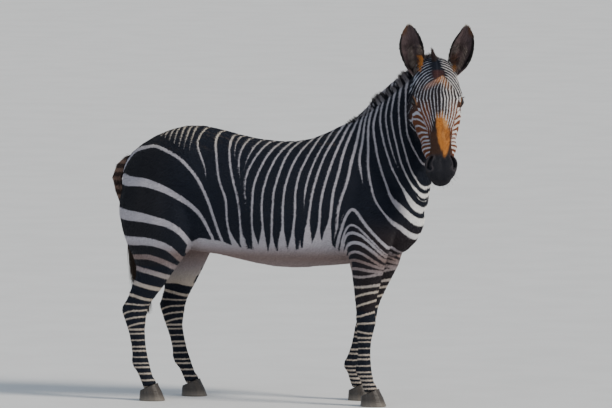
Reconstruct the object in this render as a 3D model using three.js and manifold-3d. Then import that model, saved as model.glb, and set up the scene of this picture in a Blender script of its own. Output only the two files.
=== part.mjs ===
// A Cape mountain zebra mare at life size, standing with her head turned to her right.
// +X is forward, +Y is to her left and +Z is up; the origin is on the floor under the middle of her bounding box.
// The body is made whole from oval lofts and ellipsoids, and then parted into named pieces by thin cuts.
import * as THREE from "three";
import Module from "manifold-3d";
import { mergeVertices } from "three/addons/utils/BufferGeometryUtils.js";

const wasm = await Module();
wasm.setup();

// ---- Driving dimensions, in millimetres and degrees ----
const GAP = 0.3; // between neighbouring pieces
const FACETING = 0.6; // how far the facets may stray from the smooth form
const HEAD_TURN = -67; // from straight ahead, to her right
const HEAD_PITCH = 68; // the face line below the horizontal
const POLL = new THREE.Vector3(784, -112, 1524); // top of the head, between the ears
const EYE_AT = new THREE.Vector3(178, 98.5, -40); // in the head's frame, left side
const EYE_RADIUS = 23;
const EAR_LENGTH = 236;
const EAR_HALF_WIDTH = 53;
const EAR_SKIN = 7; // thickness of the ear's shell
const EAR_AT = new THREE.Vector3(56, 77, -42); // its base in the head's frame, left side
const EAR_LEAN = { right: 9, left: 15 }; // outwards
const MANE_HEIGHT = 48;
const HOOF_HEIGHT = 76; // at the toe
const TAIL_SPLIT = 640; // height at which the dock gives way to the tassel

const COATS = {
  coat: { color: 0x2b2626, roughness: 0.8 },
  ear: { color: 0x4a3f3b, roughness: 0.85 },
  mane: { color: 0x2e2420, roughness: 0.85 },
  eye: { color: 0x120c09, roughness: 0.08 },
  horn: { color: 0x2c2622, roughness: 0.55 },
};

// ---- Solids ----
function solidOf(geometry) {
  const bare = geometry.clone();
  for (const name of Object.keys(bare.attributes)) {
    if (name !== "position") bare.deleteAttribute(name);
  }
  const merged = mergeVertices(bare, 1e-3);
  return new wasm.Manifold(
    new wasm.Mesh({
      numProp: 3,
      vertProperties: merged.attributes.position.array,
      triVerts: new Uint32Array(merged.index.array),
    }),
  );
}

function geometryOf(solid) {
  const { vertProperties, triVerts } = solid.getMesh();
  return new THREE.BufferGeometry()
    .setAttribute("position", new THREE.BufferAttribute(vertProperties, 3))
    .setIndex(new THREE.BufferAttribute(triVerts, 1));
}

const union = (solids) => solids.reduce((whole, next) => whole.add(next));
const place = (solid, matrix) => solid.transform(matrix.elements);

// A station of a loft: two points of its outline in the middle plane, the half-width across, how far down from
// `over` the widest level lies (0 to 1), how square the oval is (2 is an ellipse), and how far the side is turned.
function station(over, under, half, { wide = 0.5, square = 2, turn = 0 } = {}) {
  return {
    over: new THREE.Vector3(...over),
    under: new THREE.Vector3(...under),
    form: new THREE.Vector3(half, wide, square),
    turn: new THREE.Vector3(turn, 0, 0),
  };
}

// A closed solid whose oval rings run smoothly through the stations. `grow` makes it larger all round, and
// `dome` is how far its ends bulge, as a share of their half-width.
function loft(stations, { sides = 20, rings = 2, grow = 0, dome = 0.35 } = {}) {
  const through = (key) =>
    new THREE.CatmullRomCurve3(
      stations.map((s) => s[key]),
      false,
      "catmullrom",
      0.5,
    );
  const [overs, unders, forms, turns] = ["over", "under", "form", "turn"].map(through);
  const count = Math.round((stations.length - 1) * rings);
  const positions = [];
  for (let ring = 0; ring <= count; ring++) {
    const t = ring / count;
    const over = overs.getPoint(t);
    const under = unders.getPoint(t);
    const { x: half, y: wide, z: square } = forms.getPoint(t);
    const turn = THREE.MathUtils.degToRad(turns.getPoint(t).x);
    const across = new THREE.Vector3(Math.sin(turn), -Math.cos(turn), 0);
    const up = over.clone().sub(under).normalize();
    const depth = over.distanceTo(under);
    const centre = over.clone().lerp(under, wide);
    for (let side = 0; side < sides; side++) {
      const angle = (2 * Math.PI * side) / sides;
      const [c, s] = [Math.cos(angle), Math.sin(angle)].map(
        (v) => Math.sign(v) * Math.abs(v) ** (2 / square),
      );
      const reach = (s > 0 ? wide : 1 - wide) * depth + grow;
      positions.push(
        ...centre
          .clone()
          .addScaledVector(across, c * (half + grow))
          .addScaledVector(up, s * reach)
          .toArray(),
      );
    }
  }
  const middle = (ring) => {
    const centre = new THREE.Vector3();
    for (let side = 0; side < sides; side++) {
      const at = 3 * (ring * sides + side);
      centre.add(new THREE.Vector3(positions[at], positions[at + 1], positions[at + 2]));
    }
    return centre.divideScalar(sides);
  };
  const ends = [0, count].map((ring) => {
    const out = middle(ring).sub(middle(ring ? count - 1 : 1)).normalize();
    const half = stations[ring ? stations.length - 1 : 0].form.x;
    return middle(ring).addScaledVector(out, dome * half);
  });
  const [first, last] = [positions.length / 3, positions.length / 3 + 1];
  ends.forEach((end) => positions.push(...end.toArray()));
  const faces = [];
  for (let side = 0; side < sides; side++) {
    const next = (side + 1) % sides;
    for (let ring = 0; ring < count; ring++) {
      const [a, b] = [ring * sides + side, ring * sides + next];
      const [d, e] = [a + sides, b + sides];
      faces.push(a, b, e, a, e, d);
    }
    faces.push(first, next, side);
    faces.push(last, count * sides + side, count * sides + next);
  }
  const geometry = new THREE.BufferGeometry();
  geometry.setAttribute("position", new THREE.Float32BufferAttribute(positions, 3));
  geometry.setIndex(faces);
  const solid = solidOf(geometry);
  if (solid.volume() > 0) return solid;
  geometry.setIndex(faces.reverse());
  return solidOf(geometry);
}

function ellipsoid(centre, radii, { detail = 10, grow = 0, tilt = [0, 0, 0] } = {}) {
  const ball = new THREE.SphereGeometry(1, detail, Math.round(detail / 2));
  ball.scale(...radii.map((r) => r + grow));
  const turn = new THREE.Euler(...tilt.map(THREE.MathUtils.degToRad));
  ball.applyQuaternion(new THREE.Quaternion().setFromEuler(turn));
  ball.translate(...centre);
  return solidOf(ball);
}

// A box given by its lowest and highest corners, turned about +Y by `pitch` degrees at its lowest corner's level.
function block(low, high, { pitch = 0, grow = 0, pivot = [0, 0, 0] } = {}) {
  const size = high.map((v, i) => v - low[i] + 2 * grow);
  const middle = high.map((v, i) => (v + low[i]) / 2);
  const box = new THREE.BoxGeometry(...size).translate(...middle);
  box.translate(-pivot[0], -pivot[1], -pivot[2]);
  box.rotateY(THREE.MathUtils.degToRad(pitch)).translate(...pivot);
  return solidOf(box);
}

// ---- Trunk: [x, top, bottom, half-width, widest level, squareness] from the buttocks to the breast ----
const TRUNK = {
  buttocks: [-664, 1000, 905, 40, 0.5, 2],
  pin_bones: [-650, 1052, 830, 92, 0.5, 2],
  tail_root: [-618, 1096, 762, 140, 0.45, 2.1],
  croup_slope: [-540, 1152, 694, 180, 0.4, 2.2],
  hips: [-440, 1196, 668, 206, 0.38, 2.2],
  croup: [-335, 1213, 655, 219, 0.42, 2.2],
  loin: [-200, 1190, 638, 227, 0.48, 2.2],
  flank: [-80, 1162, 612, 241, 0.54, 2.15],
  barrel: [60, 1150, 592, 249, 0.57, 2.15],
  ribs: [180, 1163, 594, 237, 0.57, 2.15],
  girth: [290, 1205, 604, 209, 0.56, 2.15],
  withers: [370, 1238, 612, 187, 0.58, 2.05],
  shoulders: [460, 1205, 622, 175, 0.58, 2.1],
  breast: [560, 1090, 645, 160, 0.55, 2.2],
  breast_bone: [640, 960, 690, 123, 0.5, 2.2],
  breast_tip: [684, 880, 760, 62, 0.5, 2.2],
};

function trunk(grow) {
  const stations = Object.values(TRUNK).map(([x, top, bottom, half, wide, square]) =>
    station([x, 0, top], [x, 0, bottom], half, { wide, square }),
  );
  return loft(stations, { sides: 22, rings: 1.5, grow });
}

// ---- Neck: [crest, throat, half-width, turn] from inside the shoulders to inside the head ----
const NECK = {
  root: [[330, 0, 1205], [600, 0, 690], 120, 0],
  base: [[425, 0, 1264], [702, 0, 845], 128, 0],
  lower: [[500, 3, 1322], [727, 0, 960], 108, -2],
  middle: [[575, 10, 1381], [744, 7, 1072], 91, -8],
  upper: [[645, 16, 1437], [756, 20, 1172], 84, -22],
  nape: [[706, 12, 1486], [768, 34, 1240], 85, -42],
  atlas: [[752, -20, 1514], [770, 26, 1262], 84, -58],
  skull: [[776, -84, 1496], [766, -14, 1290], 66, -66],
};

function neck(grow) {
  const stations = Object.values(NECK).map(([crest, throat, half, turn]) =>
    station(crest, throat, half, { turn, wide: 0.56, square: 2.1 }),
  );
  return loft(stations, { sides: 20, rings: 1.5, grow });
}

// The dewlap is a thin fold that hangs along the middle of the throat.
function dewlap(grow) {
  const fold = Object.values(NECK).slice(2, 6).map(([crest, throat, , turn], i) => {
    const hang = [4, 26, 24, 4][i];
    const out = new THREE.Vector3(...throat).sub(new THREE.Vector3(...crest)).normalize();
    const inner = new THREE.Vector3(...throat).addScaledVector(out, -60);
    const outer = new THREE.Vector3(...throat).addScaledVector(out, hang);
    return station(inner.toArray(), outer.toArray(), 11, { turn });
  });
  return loft(fold, { sides: 8, rings: 2, grow });
}

// ---- Head, in its own frame: +X down the face from the poll, +Y left, +Z out of the forehead ----
// [x, dorsal line, widest level, lower line, half-width, squareness]
const HEAD = {
  nape: [-30, -48, -92, -150, 40, 2],
  poll: [-12, -16, -85, -180, 66, 2.1],
  crown: [20, 3, -66, -206, 82, 2.2],
  forehead: [68, 10, -56, -224, 95, 2.4],
  temple: [120, 13, -50, -238, 107, 2.6],
  orbit: [172, 11, -48, -244, 111, 2.8],
  cheek: [225, 5, -72, -241, 105, 2.8],
  bridge: [285, 1, -84, -216, 91, 2.5],
  nose: [340, -1, -80, -182, 74, 2.3],
  nose_tip: [395, -3, -66, -150, 62, 2.15],
  muzzle: [435, -4, -60, -131, 60, 2.2],
  nostrils: [475, -7, -57, -121, 66, 2.3],
  lips: [508, -14, -60, -116, 62, 2.3],
  upper_lip: [534, -30, -66, -106, 47, 2.2],
  lip_edge: [547, -48, -72, -92, 24, 2],
};

function headFrame() {
  const turn = new THREE.Euler(
    0,
    THREE.MathUtils.degToRad(HEAD_PITCH),
    THREE.MathUtils.degToRad(HEAD_TURN),
    "ZYX",
  );
  return new THREE.Matrix4().makeRotationFromEuler(turn).setPosition(POLL);
}

function skull(grow, detail) {
  const stations = Object.values(HEAD).map(([x, top, wide, low, half, square]) =>
    station([x, 0, top], [x, 0, low], half, { wide: (top - wide) / (top - low), square }),
  );
  return loft(stations, { ...detail, grow });
}

function head(grow) {
  const pieces = [skull(grow, { sides: 22, rings: 1.4 })];
  for (const side of [1, -1]) {
    const orbit = { detail: 14, tilt: [0, 0, side * -4], grow };
    pieces.push(ellipsoid([170, side * 92, -36], [52, 25, 34], orbit));
    const nostril = { detail: 14, tilt: [0, 12, 0], grow };
    pieces.push(ellipsoid([462, side * 47, -42], [34, 23, 27], nostril));
  }
  pieces.push(ellipsoid([492, 0, -104], [36, 38, 24], { grow })); // chin
  return place(union(pieces), headFrame());
}

// ---- Legs: a line [height, x, y] that the pose sets, and sections [height, front, back, half-width] ----
const FORE_SECTIONS = {
  shoulder_top: [1135, 38, 50, 26],
  shoulder_blade: [1040, 96, 92, 46],
  shoulder: [930, 142, 112, 62],
  shoulder_point: [835, 156, 108, 68],
  upper_arm: [745, 132, 94, 66],
  elbow: [672, 102, 84, 60],
  forearm_top: [600, 78, 72, 52],
  forearm: [530, 62, 60, 42],
  forearm_low: [460, 48, 50, 36],
  above_knee: [410, 42, 42, 34],
  knee: [365, 44, 38, 37],
  below_knee: [325, 36, 38, 32],
  cannon_top: [285, 28, 34, 25],
  cannon: [235, 25, 32, 23],
  fetlock_top: [192, 27, 36, 25],
  fetlock: [160, 31, 42, 30],
  pastern: [125, 27, 34, 26],
  coronet: [92, 31, 32, 30],
  hoof_core: [50, 40, 30, 34],
};
const HIND_SECTIONS = {
  hip: [1130, 60, 60, 40],
  haunch: [1040, 140, 135, 78],
  rump: [950, 168, 185, 98],
  buttock: [860, 172, 205, 104],
  thigh: [775, 168, 190, 98],
  stifle: [705, 158, 160, 86],
  gaskin_top: [640, 118, 122, 68],
  gaskin: [570, 84, 84, 52],
  gaskin_low: [505, 72, 74, 42],
  above_hock: [450, 60, 62, 35],
  hock: [405, 58, 64, 37],
  hock_low: [360, 48, 52, 36],
  cannon_top: [318, 38, 40, 29],
  cannon: [260, 32, 34, 25],
  fetlock_top: [200, 31, 37, 27],
  fetlock: [168, 34, 43, 32],
  pastern: [130, 29, 35, 27],
  coronet: [94, 32, 33, 31],
  hoof_core: [50, 41, 31, 35],
};
// From the top down. The right legs stand nearly square; the left ones are drawn in under the body.
const FORE_LINES = {
  right: [
    [1135, 395, 78], [930, 470, 122], [745, 470, 142], [600, 480, 146],
    [365, 470, 136], [160, 466, 132], [92, 486, 132], [0, 520, 132],
  ],
  left: [
    [1135, 395, 78], [930, 470, 122], [745, 470, 142], [600, 470, 146],
    [365, 402, 134], [160, 346, 126], [92, 362, 126], [0, 394, 126],
  ],
};
const HIND_LINES = {
  right: [
    [1130, -420, 70], [950, -450, 118], [775, -450, 140], [640, -468, 146],
    [560, -490, 142], [500, -524, 138], [405, -580, 132], [318, -575, 130],
    [168, -552, 128], [94, -524, 128], [0, -490, 128],
  ],
  left: [
    [1130, -420, 70], [950, -450, 118], [775, -440, 140], [640, -428, 146],
    [560, -428, 142], [500, -450, 138], [405, -480, 130], [318, -475, 128],
    [168, -436, 126], [94, -402, 126], [0, -366, 126],
  ],
};
const SIDES = { right: -1, left: 1 };

// Where a leg's line is at a height, between the points of its table.
function along(line, height) {
  const below = Math.max(1, line.findIndex(([z]) => z <= height));
  const [[z1, x1, y1], [z0, x0, y0]] = [line[below - 1], line[below]];
  const share = (height - z0) / (z1 - z0);
  return { x: x0 + share * (x1 - x0), y: y0 + share * (y1 - y0) };
}

function leg(sections, line, side, grow) {
  const stations = Object.values(sections).map(([z, front, back, half]) => {
    const { x, y } = along(line, z);
    return station([x + front, side * y, z], [x - back, side * y, z], half, { square: 2.15 });
  });
  return loft(stations, { sides: 13, rings: 1.5, grow });
}

// A hoof's wall: [height, front, back, half-width], wider at the floor and longest at the toe.
const HOOF = [
  [98, 34, 34, 34],
  [HOOF_HEIGHT - 8, 41, 38, 39],
  [HOOF_HEIGHT / 2, 57, 41, 43],
  [0, 72, 44, 48],
];
const CORONET_SLOPE = 24; // degrees that the hoof's top falls towards the heel

function hoof(line, side) {
  const at = along(line, HOOF_HEIGHT);
  const stations = HOOF.map(([z, front, back, half]) =>
    station([at.x + front, side * at.y, z], [at.x - back, side * at.y, z], half, { square: 2.2 }),
  );
  return loft(stations, { sides: 14, rings: 1, dome: 0 });
}

// What is above the sloping line round a hoof's top.
function aboveHoof(line, side, grow) {
  const at = along(line, HOOF_HEIGHT);
  const pivot = [at.x, side * at.y, HOOF_HEIGHT - 14];
  const low = [at.x - 600, side * at.y - 90, pivot[2]];
  const high = [at.x + 600, side * at.y + 90, pivot[2] + 900];
  return block(low, high, { pitch: -CORONET_SLOPE, grow, pivot });
}

// ---- Ears: a leaf of skin rolled into a tube at its base and open to the front above it ----
function ear(name, side) {
  const [steps, across] = [9, 8];
  const swell = (t) => (t < 0.45 ? 1 - 0.6 * (1 - t / 0.45) ** 2 : 0.62 + 0.38 * Math.sin(3.5 * t));
  const width = (t) => EAR_HALF_WIDTH * swell(t) * Math.sqrt(Math.max(0, 1 - t ** 5));
  const roll = (t) => THREE.MathUtils.degToRad(THREE.MathUtils.lerp(150, 64, Math.min(1, t * 1.7) ** 0.7));
  const point = (t, s, inset) => {
    const angle = roll(t);
    const radius = Math.max(width(t), 3) / Math.sin(Math.min(angle, Math.PI / 2));
    const skin = radius - inset * EAR_SKIN * (1 - 0.45 * t);
    const bend = s * angle * (1 - (inset * 0.5 * EAR_SKIN) / (radius + EAR_SKIN));
    const x = radius * Math.cos(Math.min(angle, 2.2)) * 0.5 - skin * Math.cos(bend);
    return [x - 26 * t * t + 8 * t, skin * Math.sin(bend), t * EAR_LENGTH];
  };
  const positions = [];
  for (const inset of [0, 1]) {
    for (let i = 0; i <= steps; i++) {
      const t = (i / steps) * 0.985;
      for (let j = 0; j <= across; j++) positions.push(...point(t, (2 * j) / across - 1, inset));
    }
  }
  const at = (inset, i, j) => (inset * (steps + 1) + i) * (across + 1) + j;
  const faces = [];
  const quad = (a, b, c, d) => faces.push(a, b, c, a, c, d);
  for (let i = 0; i < steps; i++) {
    for (let j = 0; j < across; j++) {
      quad(at(0, i, j), at(0, i, j + 1), at(0, i + 1, j + 1), at(0, i + 1, j));
      quad(at(1, i, j), at(1, i + 1, j), at(1, i + 1, j + 1), at(1, i, j + 1));
    }
    quad(at(0, i, 0), at(0, i + 1, 0), at(1, i + 1, 0), at(1, i, 0));
    quad(at(0, i, across), at(1, i, across), at(1, i + 1, across), at(0, i + 1, across));
  }
  for (let j = 0; j < across; j++) {
    quad(at(0, 0, j), at(1, 0, j), at(1, 0, j + 1), at(0, 0, j + 1));
    quad(at(0, steps, j), at(0, steps, j + 1), at(1, steps, j + 1), at(1, steps, j));
  }
  const geometry = new THREE.BufferGeometry();
  geometry.setAttribute("position", new THREE.Float32BufferAttribute(positions, 3));
  geometry.setIndex(faces);
  let solid = solidOf(geometry);
  if (solid.volume() < 0) solid = solidOf(geometry.setIndex(faces.reverse()));
  const base = new THREE.Vector3(EAR_AT.x, side * EAR_AT.y, EAR_AT.z).applyMatrix4(headFrame());
  const turn = new THREE.Euler(
    THREE.MathUtils.degToRad(-side * EAR_LEAN[name]),
    0,
    THREE.MathUtils.degToRad(HEAD_TURN),
    "ZYX",
  );
  return place(solid, new THREE.Matrix4().makeRotationFromEuler(turn).setPosition(base));
}

// ---- Mane and forelock: short upright hair on the crest and between the ears ----
function mane(grow = 0) {
  const rows = [...Object.values(NECK).slice(0, 7), [[781, -98, 1520], [770, -40, 1300], 0, -67]];
  const stations = rows.map(([crest, throat, , turn], i) => {
    const rise = MANE_HEIGHT * [0.15, 0.5, 0.85, 1, 1, 1, 0.95, 0.8][i];
    const up = new THREE.Vector3(...crest).sub(new THREE.Vector3(...throat)).normalize();
    const root = new THREE.Vector3(...crest).addScaledVector(up, -26);
    const tip = new THREE.Vector3(...crest).addScaledVector(up, rise);
    return station(tip.toArray(), root.toArray(), 17, { turn, wide: 0.75, square: 2 });
  });
  return loft(stations, { sides: 9, rings: 1.5, grow });
}

function forelock() {
  const stations = [
    station([24, 0, -30], [-30, 0, -60], 18),
    station([2, 0, 14], [-42, 0, -14], 17),
    station([-24, 4, 32], [-56, 4, 12], 12),
    station([-54, 10, 38], [-62, 10, 32], 3),
  ];
  return place(loft(stations, { sides: 8, rings: 2 }), headFrame());
}

// ---- Tail: [x, z, y, half-depth, half-width], hanging close behind the thighs ----
const TAIL = {
  root: [-600, 1052, 0, 34, 34],
  dock_top: [-666, 1032, 0, 30, 30],
  dock: [-690, 972, 0, 25, 25],
  dock_low: [-680, 880, 0, 22, 22],
  switch_top: [-657, 780, 2, 20, 20],
  switch: [-630, 690, 4, 22, 22],
  tassel: [-592, 600, 6, 26, 27],
  tassel_low: [-580, 490, 8, 29, 29],
  tassel_end: [-582, 410, 8, 21, 21],
  tip: [-584, 362, 8, 5, 5],
};

function tail() {
  const rows = Object.values(TAIL);
  const stations = rows.map(([x, z, y, deep, half], i) => {
    const [before, after] = [rows[Math.max(0, i - 1)], rows[Math.min(rows.length - 1, i + 1)]];
    const along = new THREE.Vector3(after[0] - before[0], 0, after[1] - before[1]).normalize();
    const out = new THREE.Vector3(along.z, 0, -along.x).multiplyScalar(deep);
    return station([x + out.x, y, z + out.z], [x - out.x, y, z - out.z], half);
  });
  return loft(stations, { sides: 8, rings: 1.5 });
}

// ---- The whole body, and its pieces ----
function flesh(grow = 0) {
  const limbs = Object.entries(SIDES).flatMap(([name, side]) => [
    leg(FORE_SECTIONS, FORE_LINES[name], side, grow),
    leg(HIND_SECTIONS, HIND_LINES[name], side, grow),
  ]);
  return union([trunk(grow), neck(grow), dewlap(grow), head(grow), ...limbs]);
}

// Cuts what a block holds out of the body, and leaves a thin gap behind it.
function part(body, makeBlock) {
  return [body.intersect(makeBlock(0)), body.subtract(makeBlock(GAP))];
}

const JAW_FRINGE = 14; // the cut behind the head runs about this far outside the head's own form
const NECK_CUT = { x: 556, z: 1080, pitch: 48 }; // from the withers to the breast
const ARMPIT = 604; // height of the cut over each foreleg
const GROIN = { x: -275, z: 704, pitch: 22 }; // over each thigh, rising to the tail
const GROIN_FLOOR = 636; // just under the belly
const KNEE_CUT = 342;
const HOCK_CUT = 352;

const headBlock = (grow) =>
  place(skull(JAW_FRINGE + grow, { sides: 14, rings: 1 }), headFrame());

function neckBlock(grow) {
  const pivot = [NECK_CUT.x, 0, NECK_CUT.z];
  const low = [NECK_CUT.x - 420, -260, NECK_CUT.z];
  const high = [NECK_CUT.x + 420, 260, NECK_CUT.z + 700];
  return block(low, high, { pitch: NECK_CUT.pitch, grow, pivot });
}

const foreBlock = (side) => (grow) =>
  block([200, side > 0 ? 20 : -420, -20], [760, side > 0 ? 420 : -20, ARMPIT], { grow });

const hindBlock = (side) => (grow) => {
  const pivot = [GROIN.x, 0, GROIN.z];
  const low = [GROIN.x - 700, side > 0 ? 45 : -420, GROIN.z - 1000];
  const high = [GROIN.x + 40, side > 0 ? 420 : -45, GROIN.z];
  const above = block(low, high, { pitch: GROIN.pitch, grow, pivot });
  const below = block([-760, low[1], -20], [-150, high[1], GROIN_FLOOR], { grow });
  return above.add(below);
};

const lowerBlock = (height, side) => (grow) =>
  block([-900, side > 0 ? 2 : -420, -20], [900, side > 0 ? 420 : -2, height], { grow });

const pieces = {};
const headMatrix = headFrame();
const grown = flesh(2 * GAP + FACETING);
let body = flesh().simplify(FACETING);

const eyes = Object.entries(SIDES).map(([name, side]) => {
  const centre = new THREE.Vector3(EYE_AT.x, side * EYE_AT.y, EYE_AT.z).applyMatrix4(headMatrix);
  const ball = (grow) => ellipsoid(centre.toArray(), Array(3).fill(EYE_RADIUS), { detail: 12, grow });
  pieces[`eye_${name}`] = [ball(0), "eye"];
  return ball(2 * GAP);
});
body = body.subtract(union(eyes));

for (const [name, side] of Object.entries(SIDES)) {
  for (const [where, lines, makeBlock, cut] of [
    ["foreleg", FORE_LINES, foreBlock(side), KNEE_CUT],
    ["hindleg", HIND_LINES, hindBlock(side), HOCK_CUT],
  ]) {
    const line = lines[name];
    const [limb, rest] = part(body, makeBlock);
    body = rest;
    const [lower, upper] = part(limb, lowerBlock(cut, side));
    pieces[`${where}_${name}_upper`] = [upper, "coat"];
    pieces[`${where}_${name}_lower`] = [lower.intersect(aboveHoof(line, side, 0)), "coat"];
    pieces[`${where}_${name}_hoof`] = [hoof(line, side).subtract(aboveHoof(line, side, GAP)), "horn"];
  }
  pieces[`ear_${name}`] = [ear(name, side).subtract(grown), "ear"];
}

[pieces.head, body] = part(body, headBlock).map((solid, i) => (i ? solid : [solid, "coat"]));
[pieces.neck, body] = part(body, neckBlock).map((solid, i) => (i ? solid : [solid, "coat"]));
pieces.trunk = [body, "coat"];
pieces.mane = [mane().subtract(grown), "mane"];
pieces.forelock = [forelock().subtract(grown).subtract(mane(GAP)), "mane"];
const [tassel, dock] = part(tail().subtract(grown), (grow) =>
  block([-900, -200, 0], [-400, 200, TAIL_SPLIT], { grow }),
);
pieces.tail_dock = [dock, "coat"];
pieces.tail_tassel = [tassel, "mane"];

// ---- The scene graph: each piece turns about its own middle, and the group stands on the floor ----
const zebra = new THREE.Group();
for (const [name, [solid, coat]] of Object.entries(pieces)) {
  const [largest] = solid.decompose().sort((a, b) => b.volume() - a.volume());
  const geometry = geometryOf(largest.simplify(GAP / 3));
  geometry.computeBoundingBox();
  const middle = geometry.boundingBox.getCenter(new THREE.Vector3());
  geometry.translate(-middle.x, -middle.y, -middle.z);
  const mesh = new THREE.Mesh(geometry, new THREE.MeshStandardMaterial(COATS[coat]));
  mesh.name = name;
  mesh.position.copy(middle);
  zebra.add(mesh);
}
const bounds = new THREE.Box3().setFromObject(zebra);
const stand = bounds.getCenter(new THREE.Vector3()).setZ(bounds.min.z);
zebra.children.forEach((mesh) => mesh.position.sub(stand));

export default zebra;
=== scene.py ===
"""The looks of a life-size Cape mountain zebra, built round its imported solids.

Lengths are in millimetres in the animal's own frame (+X forward, +Y to its left, +Z up, origin on the floor),
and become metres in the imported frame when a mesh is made.
"""
import math

import bpy
import numpy as np
from mathutils import Matrix, Vector
from mathutils.bvhtree import BVHTree


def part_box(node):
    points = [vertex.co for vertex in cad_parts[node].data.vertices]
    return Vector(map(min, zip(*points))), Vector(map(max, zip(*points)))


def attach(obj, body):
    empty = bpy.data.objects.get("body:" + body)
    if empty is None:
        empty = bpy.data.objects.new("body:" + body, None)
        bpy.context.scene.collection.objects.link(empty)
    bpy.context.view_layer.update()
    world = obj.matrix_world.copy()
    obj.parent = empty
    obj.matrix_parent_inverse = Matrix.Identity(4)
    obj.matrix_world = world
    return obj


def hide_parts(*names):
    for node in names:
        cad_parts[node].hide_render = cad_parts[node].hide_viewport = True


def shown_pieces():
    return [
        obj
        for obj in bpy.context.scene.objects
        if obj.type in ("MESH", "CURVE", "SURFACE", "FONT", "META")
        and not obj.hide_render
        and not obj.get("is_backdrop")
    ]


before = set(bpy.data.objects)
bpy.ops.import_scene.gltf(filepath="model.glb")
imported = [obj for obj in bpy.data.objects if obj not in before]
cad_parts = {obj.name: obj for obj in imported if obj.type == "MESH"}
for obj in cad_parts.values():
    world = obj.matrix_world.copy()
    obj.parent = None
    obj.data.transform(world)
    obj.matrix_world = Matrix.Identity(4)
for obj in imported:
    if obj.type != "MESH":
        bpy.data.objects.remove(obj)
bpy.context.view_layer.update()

RNG = np.random.default_rng(11)

# ---- Driving dimensions ----
HEAD_TURN = -67  # degrees from straight ahead, to its right
HEAD_PITCH = 68  # the face line below the horizontal
POLL = np.array([784.0, -112.0, 1524.0])
EYE_AT = np.array([178.0, 98.5, -40.0])  # in the head's frame, left side
EYE_RADIUS = 23.0
CAMERA_AZIMUTH = 15.0
CAMERA_ELEVATION = 4.5
CAMERA_DISTANCE = 42.0
VIEW_WIDTH = 2.699  # metres across the picture at the animal
VIEW_CENTRE = (0.1588, 0.8667)  # metres right of and above the animal's origin, in the picture plane

SKIN_VOXEL = 10.5

SIDES = {"left": 1, "right": -1}
LEGS = ["foreleg_left", "foreleg_right", "hindleg_left", "hindleg_right"]
FLESH = ["trunk", "neck", "head"] + [f"{leg}_{part}" for leg in LEGS for part in ("upper", "lower")]


# ---- Frames ----
def unit(v):
    return v / np.maximum(np.linalg.norm(v, axis=-1, keepdims=True), 1e-9)


def head_axes():
    """Rows: down the face, to the head's left, out of the forehead."""
    turn, pitch = math.radians(HEAD_TURN), math.radians(HEAD_PITCH)
    heading = np.array([math.cos(turn), math.sin(turn), 0.0])
    up = np.array([0.0, 0.0, 1.0])
    down_face = heading * math.cos(pitch) - up * math.sin(pitch)
    left = np.array([-heading[1], heading[0], 0.0])
    return np.array([down_face, left, np.cross(down_face, left)])


HEAD_AXES = head_axes()
EYE_RIGHT = POLL + np.array([EYE_AT[0], -EYE_AT[1], EYE_AT[2]]) @ HEAD_AXES
ORIGIN = EYE_RIGHT - 500 * np.array(sum(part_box("eye_right"), Vector()))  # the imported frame's origin


def to_head(points):
    return (points - POLL) @ HEAD_AXES.T


def from_head(points):
    return POLL + np.asarray(points, float) @ HEAD_AXES


def smoothstep(x, low, high):
    t = np.clip((x - low) / (high - low), 0, 1)
    return t * t * (3 - 2 * t)


# ---- Meshes ----
def mesh_of(name, points, faces, metres=False):
    """A mesh from points in mm (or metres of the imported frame) and an array of triangles or quads."""
    mesh = bpy.data.meshes.new(name)
    corners = faces.shape[1]
    mesh.vertices.add(len(points))
    place = points if metres else (points - ORIGIN) / 1000
    mesh.vertices.foreach_set("co", np.ascontiguousarray(place, np.float32).ravel())
    mesh.loops.add(faces.size)
    mesh.loops.foreach_set("vertex_index", np.ascontiguousarray(faces, np.int32).ravel())
    mesh.polygons.add(len(faces))
    mesh.polygons.foreach_set("loop_start", np.arange(0, faces.size, corners, dtype=np.int32))
    mesh.update(calc_edges=True)
    return mesh


def arrays_of(mesh):
    """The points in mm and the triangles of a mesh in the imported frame."""
    points = np.empty(len(mesh.vertices) * 3)
    mesh.vertices.foreach_get("co", points)
    mesh.calc_loop_triangles()
    triangles = np.empty(len(mesh.loop_triangles) * 3, np.int32)
    mesh.loop_triangles.foreach_get("vertices", triangles)
    return points.reshape(-1, 3) * 1000 + ORIGIN, triangles.reshape(-1, 3)


def cad(name):
    """A solid's welded points and triangles."""
    points, triangles = arrays_of(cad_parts[name].data)
    _, first, inverse = np.unique(np.round(points, 2), axis=0, return_index=True, return_inverse=True)
    return points[first], inverse.reshape(-1)[triangles].astype(np.int32)


def joined(shapes):
    """Several (points, triangles) as one, and which shape each triangle came from."""
    starts = np.cumsum([0] + [len(points) for points, _ in shapes])
    points = np.concatenate([points for points, _ in shapes])
    triangles = np.concatenate([t + start for (_, t), start in zip(shapes, starts)])
    source = np.concatenate([np.full(len(t), i) for i, (_, t) in enumerate(shapes)])
    return points, triangles, source


def sum_at(index, values, count):
    return np.stack([np.bincount(index, values[:, k], count) for k in range(values.shape[1])], 1)


def normals_of(points, triangles):
    a, b, c = (points[triangles[:, k]] for k in range(3))
    face = np.cross(b - a, c - a)
    return unit(sum(sum_at(triangles[:, k], face, len(points)) for k in range(3)))


def edges_of(triangles):
    pairs = np.concatenate([triangles[:, [0, 1]], triangles[:, [1, 2]], triangles[:, [2, 0]]])
    return np.unique(np.sort(pairs, axis=1), axis=0)


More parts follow.
